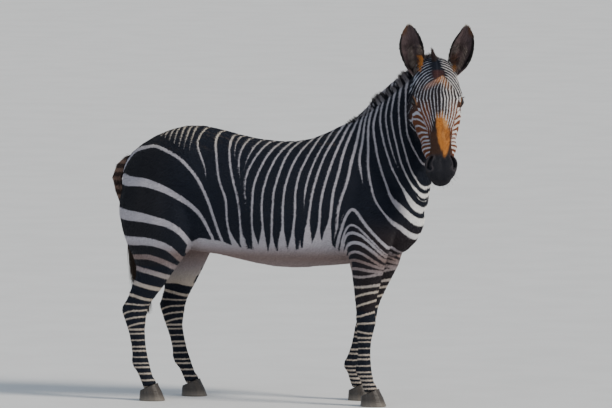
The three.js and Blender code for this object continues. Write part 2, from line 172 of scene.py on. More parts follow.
def relaxed(values, edges, rounds, weight=1.0, keep_volume=True):
    """Values per point, each moved towards its neighbours' mean and, to keep volume, partly back again."""
    a, b = edges[:, 0], edges[:, 1]
    count = len(values)
    degree = np.maximum(np.bincount(edges.ravel(), minlength=count), 1)[:, None]
    weight = np.broadcast_to(np.asarray(weight, float), (count,))[:, None]
    for _ in range(rounds):
        for step in (0.5, -0.53) if keep_volume else (0.5,):
            mean = (sum_at(a, values[b], count) + sum_at(b, values[a], count)) / degree
            values = values + step * weight * (mean - values)
    return values


def remeshed(points, triangles, voxel):
    """The outer surface of closed shapes, as even triangles about `voxel` mm across."""
    work = bpy.data.objects.new("work", mesh_of("work", points, triangles))
    bpy.context.scene.collection.objects.link(work)
    modifier = work.modifiers.new("voxels", "REMESH")
    modifier.mode = "VOXEL"
    modifier.voxel_size = voxel / 1000
    bpy.context.view_layer.update()
    evaluated = work.evaluated_get(bpy.context.evaluated_depsgraph_get())
    mesh = bpy.data.meshes.new_from_object(evaluated)
    result = arrays_of(mesh)
    bpy.data.objects.remove(work)
    bpy.data.meshes.remove(mesh)
    return result


def refined(points, triangles, chosen):
    """Splits the chosen triangles in four, and their neighbours so that no gap opens."""
    sides = np.sort(np.stack([triangles[:, [0, 1]], triangles[:, [1, 2]], triangles[:, [2, 0]]], 1), axis=2)
    edges, index = np.unique(sides.reshape(-1, 2), axis=0, return_inverse=True)
    index = index.reshape(-1, 3)
    split = np.zeros(len(edges), bool)
    split[index[chosen].ravel()] = True
    middle = np.full(len(edges), -1)
    middle[split] = len(points) + np.arange(split.sum())
    points = np.concatenate([points, points[edges[split]].mean(axis=1)])
    cut = split[index]
    number = cut.sum(axis=1)
    kept = [triangles[number == 0]]
    for case in (1, 2, 3):
        for turn in range(3):
            order = [turn, (turn + 1) % 3, (turn + 2) % 3]
            wanted = {1: [True, False, False], 2: [True, True, False], 3: [True, True, True]}[case]
            here = (number == case) & (cut[:, order] == wanted).all(axis=1)
            if case == 3 and turn:
                continue
            a, b, c = (triangles[here][:, k] for k in order)
            ab, bc, ca = (middle[index[here][:, k]] for k in order)
            pieces = {
                1: [(a, ab, c), (ab, b, c)],
                2: [(ab, b, bc), (a, ab, bc), (a, bc, c)],
                3: [(a, ab, ca), (ab, b, bc), (ca, bc, c), (ab, bc, ca)],
            }[case]
            kept += [np.stack(piece, 1) for piece in pieces]
    return points, np.concatenate(kept).astype(np.int32)


def piece(name, mesh, material, slot, replaces=(), smooth=True):
    """A finished piece of the animal in the scene."""
    mesh.polygons.foreach_set("use_smooth", np.full(len(mesh.polygons), smooth))
    mesh.materials.append(material)
    made = bpy.data.objects.new(name, mesh)
    bpy.context.scene.collection.objects.link(made)
    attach(made, "root")
    if replaces:
        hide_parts(*replaces)
    return made


# ---- Camera, lights and floor ----
def camera_axes():
    azimuth, elevation = math.radians(CAMERA_AZIMUTH), math.radians(CAMERA_ELEVATION)
    right = Vector((math.cos(azimuth), math.sin(azimuth), 0))
    back = Vector((
        math.sin(azimuth) * math.cos(elevation),
        -math.cos(azimuth) * math.cos(elevation),
        math.sin(elevation),
    ))
    return right, back.cross(right), back


def set_camera():
    right, up, back = camera_axes()
    data = bpy.data.cameras.new("camera")
    data.sensor_width = 36
    data.lens = data.sensor_width * CAMERA_DISTANCE / VIEW_WIDTH
    data.clip_end = 100
    camera = bpy.data.objects.new("camera", data)
    bpy.context.scene.collection.objects.link(camera)
    target = VIEW_CENTRE[0] * right + VIEW_CENTRE[1] * up - Vector(ORIGIN / 1000)
    camera.location = target + CAMERA_DISTANCE * back
    camera.rotation_euler = (-back).to_track_quat("-Z", "Y").to_euler()
    bpy.context.scene.camera = camera


def area_light(name, place, aim, size, power, colour):
    data = bpy.data.lights.new(name, "AREA")
    data.shape = "DISK"
    data.size = size
    data.energy = power
    data.color = colour
    light = bpy.data.objects.new(name, data)
    light.location = place
    light.rotation_euler = (Vector(aim) - Vector(place)).to_track_quat("-Z", "Y").to_euler()
    bpy.context.scene.collection.objects.link(light)


def set_lights():
    """A broad warm light from ahead of the animal, a soft cool one from the camera's left, and a pale sky."""
    sun = bpy.data.lights.new("key", "SUN")
    sun.energy = 3.2
    sun.angle = math.radians(14)
    sun.color = (1, 0.94, 0.85)
    key = bpy.data.objects.new("key", sun)
    key.rotation_euler = Vector((1.0, -0.25, 0.74)).to_track_quat("Z", "Y").to_euler()
    bpy.context.scene.collection.objects.link(key)
    area_light("fill", (-2.5, -6.0, 2.4), (0, 0, 0.8), 4.5, 75, (0.84, 0.92, 1))
    world = bpy.data.worlds.new("studio")
    world.use_nodes = True
    world.node_tree.nodes["Background"].inputs["Color"].default_value = (0.72, 0.84, 1.0, 1)
    world.node_tree.nodes["Background"].inputs["Strength"].default_value = 0.47
    bpy.context.scene.world = world


def set_floor():
    """A wide pale floor, with gentle unevenness."""
    reach, steps = 90.0, 60
    line = reach * np.sinh(np.linspace(-3, 3, steps + 1)) / math.sinh(3)
    x, y = np.meshgrid(line, line, indexing="ij")
    points = np.stack([x.ravel(), y.ravel(), np.zeros(x.size)], 1)
    i, j = np.meshgrid(np.arange(steps), np.arange(steps), indexing="ij")
    corner = (i * (steps + 1) + j).ravel()
    faces = np.stack([corner, corner + steps + 1, corner + steps + 2, corner + 1], 1)
    mesh = mesh_of("floor", points, faces, metres=True)
    mesh.polygons.foreach_set("use_smooth", np.full(len(mesh.polygons), True))
    shader = Shader("floor_paint", roughness=0.85)
    mesh.materials.append(shader.material)
    grain = shader.noise(scale=3.0, detail=3.0)
    shader.colour(shader.mix(shader.ramp(grain, 0.3, 0.7), (0.80, 0.79, 0.77), (0.84, 0.83, 0.81)))
    floor = bpy.data.objects.new("floor", mesh)
    bpy.context.scene.collection.objects.link(floor)
    floor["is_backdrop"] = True


# ---- Materials ----
class Shader:
    """A node material, built up by small calls that each return a socket."""

    def __init__(self, name, roughness=0.8, sheen=0.0, specular=0.5, coat=0.0):
        self.material = bpy.data.materials.new(name)
        self.material.use_nodes = True
        self.tree = self.material.node_tree
        self.surface = self.tree.nodes["Principled BSDF"]
        settings = {"Roughness": roughness, "Sheen Weight": sheen, "Specular IOR Level": specular}
        settings["Coat Weight"] = coat
        for socket, value in settings.items():
            self.surface.inputs[socket].default_value = value

    def node(self, kind, inputs, output=0, **settings):
        node = self.tree.nodes.new(kind)
        for key, value in settings.items():
            setattr(node, key, value)
        for key, value in inputs.items():
            self.feed(node.inputs[key], value)
        return node.outputs[output]

    def feed(self, socket, value):
        if isinstance(value, bpy.types.NodeSocket):
            self.tree.links.new(value, socket)
        elif isinstance(value, tuple) and len(value) == 3 and socket.type == "RGBA":
            socket.default_value = (*value, 1)
        else:
            socket.default_value = value

    def math(self, operation, *values):
        return self.node("ShaderNodeMath", dict(enumerate(values)), operation=operation)

    def value(self, name):
        return self.node("ShaderNodeAttribute", {}, "Fac", attribute_name=name)

    def tint(self, name):
        return self.node("ShaderNodeAttribute", {}, "Color", attribute_name=name)

    def place(self, stretch=(1, 1, 1)):
        spot = self.node("ShaderNodeTexCoord", {}, "Object")
        return self.node("ShaderNodeVectorMath", {0: spot, 1: stretch}, operation="MULTIPLY")

    def noise(self, scale, detail=2.0, stretch=(1, 1, 1), rough=0.5):
        inputs = {"Vector": self.place(stretch), "Scale": scale, "Detail": detail, "Roughness": rough}
        return self.node("ShaderNodeTexNoise", inputs)

    def ramp(self, value, low, high, to_low=0.0, to_high=1.0):
        inputs = {"Value": value, "From Min": low, "From Max": high, "To Min": to_low, "To Max": to_high}
        return self.node("ShaderNodeMapRange", inputs, interpolation_type="SMOOTHSTEP")

    def mix(self, share, low, high):
        return self.node("ShaderNodeMix", {0: share, 6: low, 7: high}, 2, data_type="RGBA")

    def colour(self, value):
        self.feed(self.surface.inputs["Base Color"], value)

    def bump(self, height, distance, strength=1.0):
        inputs = {"Height": height, "Distance": distance, "Strength": strength}
        inputs["Normal"] = self.surface.inputs["Normal"].links[0].from_socket if (
            self.surface.inputs["Normal"].links
        ) else None
        if inputs["Normal"] is None:
            del inputs["Normal"]
        self.feed(self.surface.inputs["Normal"], self.node("ShaderNodeBump", inputs))


# ---- Skin ----
def nearest_parts(points):
    """The node of flesh that each point is nearest to."""
    solid_points, solid_triangles, source = joined([cad(name) for name in FLESH])
    tree = BVHTree.FromPolygons(solid_points.tolist(), solid_triangles.tolist())
    return source[[tree.find_nearest(p)[2] for p in points.tolist()]]


def shares_of(points, triangles, blur):
    """How far each point belongs to the trunk, the neck, the head, an upper leg and a lower leg."""
    label = nearest_parts(points)
    kinds = [("trunk",), ("neck",), ("head",), tuple(f"{leg}_upper" for leg in LEGS), tuple(f"{leg}_lower" for leg in LEGS)]
    share = np.stack([np.isin(label, [FLESH.index(n) for n in names]) for names in kinds], 1).astype(float)
    share = relaxed(share, edges_of(triangles), blur, keep_volume=False)
    return label, dict(zip(("trunk", "neck", "head", "thigh", "shank"), share.T))


def fine_zone(points, level):
    """Where the skin needs smaller triangles: first all the head and lower legs, then eyes and muzzle."""
    head = to_head(points)
    on_head = (head[:, 0] > -20) & (np.abs(head[:, 1]) < 128) & (head[:, 2] > -265) & (head[:, 2] < 45)
    if level == 0:
        return on_head | (points[:, 2] < 600)
    eye = np.linalg.norm(np.stack([head[:, 0], np.abs(head[:, 1]), head[:, 2]], 1) - EYE_AT, axis=1) < 60
    return on_head & (eye | (head[:, 0] > 430))


def build_skin():
    shapes = []
    for name in FLESH:
        points, triangles = cad(name)
        shapes.append((points + 0.8 * normals_of(points, triangles), triangles))
    shapes += [cad("eye_left"), cad("eye_right")]
    points, triangles, _ = joined(shapes)
    points, triangles = remeshed(points, triangles, SKIN_VOXEL)
    _, share = shares_of(points, triangles, 12)
    weight = 1 - 0.85 * share["shank"] - 0.8 * share["head"] - 0.45 * share["thigh"]
    points = relaxed(points, edges_of(triangles), 42, np.clip(weight, 0.12, 1))
    for level in range(2):
        points, triangles = refined(points, triangles, fine_zone(points, level)[triangles].all(axis=1))
        points = relaxed(points, edges_of(triangles), 4, 0.8 * fine_zone(points, level))
    _, share = shares_of(points, triangles, 12)
    points = modelled(points, triangles, share)
    inset = 3.6 - 1.6 * share["shank"] - 1.9 * share["head"]
    return points - inset[:, None] * normals_of(points, triangles), triangles


# ---- Modelling of the skin ----
# Rounded swellings and hollows: (centre, radii, height), mirrored to both sides.
BODY_FORMS = [
    ((-330, 165, 1120), (46, 40, 30), 9),  # point of the hip
    ((-235, 200, 1060), (75, 60, 70), -9),  # hollow of the flank
    ((-430, 190, 1000), (110, 80, 110), 6),  # gluteal muscle
    ((-560, 130, 930), (60, 60, 120), 5),
    ((-360, 190, 800), (45, 60, 90), 6),  # muscle over the stifle
    ((-430, 150, 690), (60, 60, 60), 5),
    ((-575, 130, 690), (25, 60, 110), -5),  # furrow behind the thigh
    ((330, 120, 1140), (45, 60, 60), 5),  # shoulder blade
    ((395, 175, 985), (28, 40, 130), 5),
    ((440, 185, 985), (20, 40, 90), -4),
    ((540, 140, 905), (55, 60, 60), 9),  # point of the shoulder
    ((350, 180, 850), (60, 60, 80), 6),  # triceps
    ((330, 165, 745), (30, 40, 30), 7),  # elbow
    ((245, 200, 830), (40, 60, 120), -5),  # hollow behind the shoulder
    ((640, 60, 850), (50, 40, 90), 6),  # breast
    ((640, 0, 850), (60, 14, 110), -8),
    ((60, 205, 980), (190, 60, 110), 4),  # barrel
    ((90, 0, 1160), (260, 26, 40), -4),
    ((430, 0, 1240), (90, 26, 50), 6),  # withers
    ((690, 80, 1130), (22, 26, 110), -6),  # jugular furrow
    ((650, 80, 1010), (22, 30, 80), -5),
    ((640, 100, 1220), (60, 50, 110), 5),
]
HEAD_FORMS = [
    ((172, 112, -42), (46, 30, 34), -9),  # width at the eyes
    ((146, 92, -12), (34, 20, 16), 4.5),  # brow
    ((110, 74, -6), (22, 20, 22), -6),  # hollow above the eye
    ((52, 74, -40), (32, 22, 34), 6),  # base of the ear
    ((195, 112, -165), (62, 40, 52), 6),  # muscle of the cheek
    ((262, 100, -150), (16, 40, 60), -5),
    ((245, 98, -78), (50, 16, 12), 5),  # ridge below the eye
    ((315, 84, -86), (40, 16, 10), 4),
    ((384, 62, -62), (30, 34, 44), 13),  # cheek beside the nose
    ((356, 52, -30), (30, 12, 14), -4),
    ((290, 45, 4), (120, 16, 20), 2),
    ((205, 100, -66), (18, 12, 10), -3),  # below the inner corner of the eye
    ((470, 0, -4), (34, 15, 14), -5.5),  # dip between the nostrils
    ((455, 35, -6), (24, 8, 14), 4.5),  # inner rim of the nostril
    ((505, 40, -34), (18, 18, 20), 5),  # lip
    ((530, 0, -40), (24, 12, 26), -4.5),
    ((530, 52, -84), (34, 16, 40), -8),  # narrower below
    ((420, 30, -2), (12, 14, 12), -2.5),
    ((492, 66, -62), (30, 14, 16), 3.5),
    ((445, 62, -96), (20, 14, 12), -4),  # corner of the mouth
    ((520, 0, -118), (26, 24, 14), 5),  # chin
    ((480, 0, -128), (18, 30, 10), -3),
    ((60, 0, 0), (50, 20, 20), 3),
]
MOUTH = (452, -88, 0.12)  # where it begins, its height there, and its slope
NOSTRIL = [(440, 43), (452, 52), (466, 57), (480, 57), (490, 51)]  # down the face, and out from the middle
NOSTRIL_DEPTH = 17


def swelling(points, forms):
    """The height to raise each point by, along its normal, mirrored about the middle plane."""
    both = np.stack([points[:, 0], np.abs(points[:, 1]), points[:, 2]], 1)
    height = np.zeros(len(points))
    for centre, radii, rise in forms:
        height += rise * np.exp(-(((both - centre) / radii) ** 2).sum(1))
    return height


def off_mouth(head):
    """Distance over the skin from the line of the mouth."""
    start, height, slope = MOUTH
    above = head[:, 2] - height - slope * (head[:, 0] - start)
    return np.hypot(above, np.minimum(head[:, 0] - start, 0))


def off_nostril(head):
    """Distance from the middle of the nearer nostril, seen from the front, and how far along it, 0 to 1."""
    spot = np.stack([head[:, 0], np.abs(head[:, 1])], 1)
    path = np.array(NOSTRIL, float)
    best = np.full(len(head), 1e9)
    along = np.zeros(len(head))
    for i, (a, b) in enumerate(zip(path[:-1], path[1:])):
        t = np.clip(((spot - a) @ (b - a)) / ((b - a) @ (b - a)), 0, 1)
        gap = np.linalg.norm(spot - a - t[:, None] * (b - a), axis=1)
        nearer = gap < best
        best[nearer] = gap[nearer]
        along[nearer] = ((i + t) / (len(path) - 1))[nearer]
    return np.where(head[:, 2] > -52, best, 1e9), along


def modelled(points, triangles, share):
    """Muscles, bones, tendons, nostrils and mouth."""
    normals = normals_of(points, triangles)
    head = to_head(points)
    on_head = smoothstep(share["head"], 0.35, 0.65)
    straight_x, straight_y = straightened(points)
    straight = np.stack([straight_x, straight_y, points[:, 2]], 1)
    height = swelling(straight, BODY_FORMS) * (1 - on_head) + swelling(head, HEAD_FORMS) * on_head
    height += leg_forms(points)
    mouth = off_mouth(head)
    height -= on_head * 5.0 * np.exp(-((mouth / 3.4) ** 2))
    height += on_head * 2.0 * np.exp(-(((mouth - 9) / 5) ** 2))
    opening, along = off_nostril(head)
    wide = 2.8 + 4.6 * np.sin(math.pi * np.clip(along, 0.05, 0.97)) ** 0.7
    inside = on_head * (1 - smoothstep(opening, wide * 0.5, wide * 1.3))
    height += on_head * 3.6 * np.exp(-(((opening - wide - 4.5) / 4.5) ** 2))
    points = points + (height * (1 - inside))[:, None] * normals
    inward = np.stack([np.full(len(points), -0.45), -np.sign(head[:, 1]) * 0.5, np.full(len(points), -0.75)], 1)
    return points + (NOSTRIL_DEPTH * inside)[:, None] * (unit(inward) @ HEAD_AXES)


def leg_forms(points):
    """Furrows between bone and tendon, and the rounding of knee, hock and fetlock."""
    height = np.zeros(len(points))
    z = points[:, 2]
    for leg in LEGS:
        side = SIDES[leg.split("_")[1]]
        x, y = leg_line(leg, z)
        near = (np.abs(points[:, 0] - x) < 90) & (points[:, 1] * side > 0) & (z < 640)
        ahead = points[:, 0] - x
        shank = smoothstep(z, 125, 170) * smoothstep(-z, -345, -300)
        height -= near * shank * 3.2 * np.exp(-(((ahead + 9) / 6) ** 2))
        if leg.startswith("fore"):
            height += near * 3.5 * np.exp(-(((z - 372) / 30) ** 2)) * smoothstep(ahead, -10, 20)
            height += near * 4 * np.exp(-(((z - 388) / 22) ** 2) - ((ahead + 36) / 14) ** 2)
            height -= near * 3 * np.exp(-(((ahead - 4) / 9) ** 2)) * smoothstep(z, 440, 500) * smoothstep(-z, -620, -560)
        else:
            height += near * 4 * np.exp(-(((z - 400) / 36) ** 2) - ((ahead - 22) / 18) ** 2)
            height -= near * 6 * np.exp(-(((z - 455) / 48) ** 2) - ((ahead + 22) / 12) ** 2)
        height += near * 3 * np.exp(-(((z - 148) / 20) ** 2)) * smoothstep(-ahead, -8, 14)
        height -= near * 2.5 * np.exp(-(((z - 108) / 14) ** 2)) * smoothstep(ahead, -30, 0)
    return height


# ---- Markings ----
# A white line is given by points of its middle in the side view, x forward and z up, and by its half-width.
# Flank and neck lines run from the back down: (half-width, height where it fades out, (x, z), ...).
CROUP_BARS = [(4.5, 1150, (x - 6, 1250), (x, 1150), (x + 8, 1050)) for x in range(-655, -300, 26)]
FLANK_LINES = [
    (5.0, 1030, (-275, 1215), (-295, 1155), (-265, 1090), (-235, 1030), (-225, 900)),
    (6.5, 0, (-210, 1210), (-215, 1165), (-190, 1065), (-170, 980), (-135, 905), (-130, 760), (-108, 690)),
    (6.5, 0, (-140, 1210), (-155, 1165), (-135, 1085), (-90, 935), (-72, 860), (-60, 680)),
    (5.0, 1120, (-108, 1210), (-130, 1150), (-112, 1085), (-80, 1000), (-66, 860), (-50, 680)),
    (5.5, 1015, (-60, 1210), (-88, 1145), (-95, 1080), (-80, 1010), (-60, 860), (-44, 680)),
    (5.0, 1075, (-5, 1210), (-40, 1130), (-58, 1070), (-68, 1000), (-50, 860), (-38, 680)),
    (6.0, 905, (48, 1200), (0, 1125), (-36, 1060), (-56, 990), (-54, 905), (-40, 860), (-30, 680)),
    (6.5, 0, (95, 1180), (35, 1110), (5, 1035), (-15, 960), (-20, 860), (-14, 680)),
    (6.5, 0, (138, 1180), (78, 1105), (50, 1030), (30, 940), (25, 880), (35, 780), (20, 690)),
    (6.5, 0, (182, 1180), (130, 1130), (105, 1055), (80, 940), (75, 840), (76, 785), (65, 695)),
    (6.5, 0, (222, 1180), (180, 1120), (150, 1055), (130, 975), (120, 875), (125, 780), (110, 685)),
    (6.5, 0, (252, 1180), (220, 1105), (185, 1025), (175, 945), (174, 840), (165, 740), (155, 685)),
    (5.5, 905, (295, 1190), (256, 1095), (225, 1005), (214, 915), (210, 830), (190, 700)),
    (7.0, 0, (335, 1200), (295, 1110), (265, 1015), (245, 920), (230, 830), (218, 700)),
    (7.5, 0, (368, 1210), (332, 1085), (305, 995), (285, 895), (275, 795), (260, 700)),
    (8.0, 0, (398, 1220), (375, 1130), (363, 1040), (340, 955), (330, 850), (308, 755), (300, 690)),
    (8.5, 0, (428, 1230), (416, 1110), (400, 995), (372, 910), (352, 820), (350, 730), (372, 650)),
    (7.0, 1000, (450, 1240), (440, 1085), (462, 995), (470, 940), (490, 880), (520, 800)),
    (8.0, 0, (472, 1270), (468, 1195), (475, 1090), (490, 1000), (525, 910), (575, 845), (640, 775)),
    (8.5, 0, (500, 1300), (490, 1225), (510, 1115), (545, 1015), (590, 925), (642, 860), (700, 800)),
    (8.5, 0, (520, 1330), (518, 1260), (545, 1150), (585, 1050), (630, 970), (678, 885), (730, 830)),
    (7.0, 1090, (548, 1345), (542, 1280), (572, 1150), (600, 1075), (645, 1000), (700, 920), (750, 860)),
    (8.5, 0, (572, 1365), (568, 1280), (594, 1180), (618, 1085), (660, 1000), (715, 925), (770, 870)),
    (8.0, 0, (600, 1395), (600, 1315), (625, 1175), (660, 1060), (712, 975), (770, 910)),
    (8.0, 0, (628, 1420), (634, 1310), (652, 1190), (690, 1110), (745, 1045), (800, 990)),
]
NAPE_LINES = [
    (7.5, 0, (632 + 33 * k, 1445), (660 + 31 * k, 1310), (684 + 30 * k, 1190), (728 + 29 * k, 1100), (800 + 25 * k, 1020))
    for k in range(1, 9)
]
# Bars of the rump, thigh and leg: (half-width behind, half-width in front, (x, z), ...), from the top down.
RUMP_BARS = [
    (8, 8, (-650, 1075), (-560, 1190), (-425, 1200), (-300, 1140), (-200, 1020), (-150, 900), (-120, 720)),
    (8.5, 8, (-650, 1015), (-620, 1075), (-585, 1105), (-495, 1130), (-425, 1115), (-350, 1075),
     (-265, 990), (-220, 905), (-190, 800), (-168, 700)),
    (31, 7, (-640, 975), (-515, 970), (-425, 945), (-330, 890), (-265, 840), (-225, 780), (-205, 690)),
    (30, 12, (-620, 830), (-515, 815), (-405, 795), (-340, 755), (-310, 700), (-290, 620)),
    (26, 17, (-600, 712), (-495, 710), (-405, 690), (-370, 655), (-345, 600)),
    (13, 17, (-580, 640), (-500, 644), (-415, 615), (-375, 580)),
    (14, 15, (-570, 592), (-500, 576), (-420, 550), (-380, 530)),
    (12.5, 12, (-610, 530), (-510, 505), (-430, 486)),
    (8, 7.5, (-620, 475), (-510, 446), (-430, 436)),
    (4.5, 2.0, (-640, 432), (-560, 425), (-430, 424)),
    (4.5, 4.5, (-640, 378), (-605, 398), (-430, 404)),
    (4.5, 4.5, (-640, 352), (-580, 370), (-430, 376)),
    (4.5, 4.5, (-640, 316), (-560, 343), (-430, 350)),
]
SHOULDER_BARS = [
    (8, 8, (340, 690), (360, 750), (385, 820), (404, 862), (420, 905), (450, 850), (485, 805), (555, 730), (610, 665)),
    (6.5, 4, (350, 660), (372, 745), (392, 795), (415, 816), (455, 793), (510, 740), (580, 660)),
    (9, 7, (350, 640), (368, 720), (386, 762), (415, 772), (450, 768), (495, 742), (570, 660)),
    (10, 9, (350, 620), (380, 700), (435, 732), (475, 720), (515, 690), (565, 640)),
    (8, 7, (360, 620), (395, 667), (440, 690), (475, 676), (505, 656), (560, 615)),
    (8, 8, (360, 600), (395, 636), (420, 650), (455, 645), (525, 620)),
    (8, 9, (360, 585), (395, 604), (435, 611), (540, 595)),
    (7, 8, (380, 575), (465, 570), (545, 586)),
    (6.5, 8, (390, 525), (455, 525), (530, 536)),
    (5, 7, (400, 470), (465, 495), (530, 507)),
    (5, 6, (400, 430), (465, 450), (520, 467)),
    (4.5, 5.5, (400, 392), (450, 396), (510, 416)),
    (4.5, 5, (420, 364), (520, 370)),
    (4.5, 5, (410, 340), (460, 325), (510, 320)),
]
BAR_SHARE = 0.76  # of the half-widths given above
LEG_RING_PITCH = 25  # between the rings below knee and hock
WHORL_SIDE = 22  # of the whorl on the forehead from the middle of the face
BELLY_EDGE = [(-420, 0), (-352, 560), (-342, 660), (-325, 702), (-280, 726), (-170, 714), (-110, 692), (20, 676),
              (155, 680), (250, 715), (310, 722), (360, 668), (420, 640)]
# Middle of each leg: (height, x, distance from the middle plane).
LEG_LINES = {
    "foreleg_right": [(1135, 395, 78), (930, 470, 122), (745, 470, 142), (600, 480, 146), (365, 470, 136),
                      (160, 466, 132), (92, 486, 132), (0, 520, 132)],
    "foreleg_left": [(1135, 395, 78), (930, 470, 122), (745, 470, 142), (600, 470, 146), (365, 402, 134),
                     (160, 346, 126), (92, 362, 126), (0, 394, 126)],
    "hindleg_right": [(1130, -420, 70), (775, -450, 140), (640, -468, 146), (560, -490, 142), (500, -524, 138),
                      (405, -580, 132), (318, -575, 130), (168, -552, 128), (94, -524, 128), (0, -490, 128)],
    "hindleg_left": [(1130, -420, 70), (775, -440, 140), (640, -428, 146), (560, -428, 142), (500, -450, 138),
                     (405, -480, 130), (318, -475, 128), (168, -436, 126), (94, -402, 126), (0, -366, 126)],
}
# The neck from above: middle of each station (x, y) and its heading in degrees.
NECK_BENDS = [(465, 0, 0), (563, 0, 0), (613, 0, -2), (660, 0, -8), (700, 0, -22), (737, 0, -42), (761, 3, -58),
              (771, -49, -66)]
# The crest of the neck: (crest, throat, how far the mane rises above it).
CREST = [
    ((330, 0, 1205), (600, 0, 690), 7), ((425, 0, 1264), (702, 0, 845), 24), ((500, 3, 1322), (727, 0, 960), 41),
    ((575, 10, 1381), (744, 7, 1072), 48), ((645, 16, 1437), (756, 20, 1172), 48),
    ((706, 12, 1486), (768, 34, 1240), 48), ((752, -20, 1514), (770, 26, 1262), 46), ((781, -98, 1520), (770, -40, 1300), 38),
]
GRID = np.arange(-1000.0, 1900.0, 10.0)


def leg_line(leg, height):
    """x and y of a leg's middle at a height."""
    rows = np.array(LEG_LINES[leg][::-1], float)
    side = SIDES[leg.split("_")[1]]
    return np.interp(height, rows[:, 0], rows[:, 1]), side * np.interp(height, rows[:, 0], rows[:, 2])


def straightened(points):
    """x and y with the neck's bend to the side taken out."""
    rows = np.array(NECK_BENDS, float)
    turn = np.radians(rows[:, 2])
    ahead = np.stack([np.cos(turn), np.sin(turn)], 1)
    steps = np.linalg.norm(np.diff(rows[:, :2], axis=0), axis=1)
    reach = rows[0, 0] + np.concatenate([[0], np.cumsum(steps)])
    offset = points[:, None, :2] - rows[None, :, :2]
    aside = offset[:, :, 1] * ahead[:, 0] - offset[:, :, 0] * ahead[:, 1]
    past = ((points[:, None, :2] * (1, 0.4) - rows[None, :, :2]) * ahead).sum(2)
    station = np.clip((np.cumprod(past >= 0, axis=1)).sum(1) - 1, 0, len(rows) - 2)
    every = np.arange(len(points))
    before, after = past[every, station], past[every, station + 1]
    share = np.clip(before / np.where(np.abs(before - after) < 1e-6, 1, before - after), 0, 1)
    x = reach[station] + share * np.diff(reach)[station]
    y = (1 - share) * aside[every, station] + share * aside[every, station + 1]
    first, last = past[:, 0] < 0, after >= 0
    x = np.where(first, points[:, 0], np.where(last, reach[-1] + after, x))
    return x, np.where(first, points[:, 1], y)


def drawn(pairs, blur=22.0):
    """A smooth curve through (place, value) pairs, sampled on GRID, straight beyond its ends."""
    pairs = np.array(sorted(pairs), float)
    value = np.interp(GRID, pairs[:, 0], pairs[:, 1])
    for end, inner, beyond in ((0, 1, GRID < pairs[0, 0]), (-1, -2, GRID > pairs[-1, 0])):
        slope = (pairs[end, 1] - pairs[inner, 1]) / (pairs[end, 0] - pairs[inner, 0])
        value[beyond] = pairs[end, 1] + np.clip(slope, -4, 4) * (GRID[beyond] - pairs[end, 0])
    count = int(0.4 * blur)
    kernel = np.exp(-0.5 * (10 * np.arange(-count, count + 1) / blur) ** 2)
    wide = np.pad(value, count, mode="reflect", reflect_type="odd")
    return np.convolve(wide, kernel / kernel.sum(), "valid")


def in_order(curves, least=5.0):
    for lower, upper in zip(curves[:-1], curves[1:]):
        np.maximum(upper, lower + least, out=upper)
    return np.array(curves)


class Family:
    """White lines side by side. `across` places each line at each `along`, both in mm."""

    def __init__(self, curves, halves):
        self.curves = in_order(curves)
        self.halves = np.array(halves)

    def phase(self, along, across):
        """Whole numbers on the lines, and the lines' half-width there."""
        at = np.clip((along - GRID[0]) / 10, 0, len(GRID) - 2)
        cell = at.astype(int)
        share = at - cell
        count = len(self.curves)
        phase = np.empty(len(along))
        half = np.empty(len(along))
        for start in range(0, len(along), 50000):
            block = slice(start, start + 50000)
            place = self.curves[:, cell[block]] * (1 - share[block]) + self.curves[:, cell[block] + 1] * share[block]
            below = np.clip((place <= across[block]).sum(0) - 1, 0, count - 2)
            every = np.arange(place.shape[1])
            low, high = place[below, every], place[below + 1, every]
            part = (across[block] - low) / (high - low)
            phase[block] = below + part
            blend = smoothstep(part, 0.3, 0.7)
            width = self.halves[:, cell[block]]
            half[block] = (1 - blend) * width[below, every] + blend * width[below + 1, every]
        return phase, half

    def fields(self, along, across):
        """Phase, mm for one step of phase, and half-width in mm."""
        phase, half = self.phase(along, across)
        ahead, _ = self.phase(along + 3, across)
        aside, _ = self.phase(along, across + 3)
        slope = np.hypot(ahead - phase, aside - phase) / 3
        return phase, 1 / np.clip(slope, 1 / 400, 1 / 6), half


def flank_family():
    """Lines of the croup, flank and neck: thin above, wide at the belly, the breast and the crest."""
    curves, halves = [], []
    edge = np.array(BELLY_EDGE, float)
    crest = np.array([top for top, _, _ in CREST], float)
    for number, (half, fade, *points) in enumerate(CROUP_BARS + FLANK_LINES + NAPE_LINES):
        curve = drawn([(z, x) for x, z in points])
        low = np.interp(curve, edge[:, 0], edge[:, 1]) + 24 * math.sin(2.4 * number)
        width = half * (0.64 - 0.22 * smoothstep(curve, 440, 560)) * np.clip((GRID - fade + 25) / 60, -6, 1)
        width += 20 * smoothstep(low + 100 - GRID, 0, 130) * (curve < 420)
        width += 10 * smoothstep(curve, 560, 680) * smoothstep(-GRID, -985, -870)
        ridge = np.interp(curve, crest[:, 0], crest[:, 2])
        width += 4.2 * smoothstep(GRID - ridge, -85, -15) * smoothstep(curve, 500, 640)
        curves.append(curve)
        halves.append(width)
    return Family(curves, halves)


def bar_family(bars, last, rings):
    curves, halves = [], []
    for behind, front, *points in bars:
        curves.append(drawn([(x, -z) for x, z in points]))
        xs = [x for x, _ in points]
        halves.append(BAR_SHARE * np.interp(GRID, [min(xs), max(xs)], [behind, front]))
    for k in range(1, rings):
        curves.append(np.full(len(GRID), -(last - LEG_RING_PITCH * k) + 4 * math.sin(2.1 * k)))
        halves.append(np.full(len(GRID), 3.1 + 0.7 * math.sin(1.7 * k)))
    return Family(curves, halves)


FLANK = flank_family()
RUMP = bar_family(RUMP_BARS, 343, 10)
SHOULDER = bar_family(SHOULDER_BARS, 330, 9)


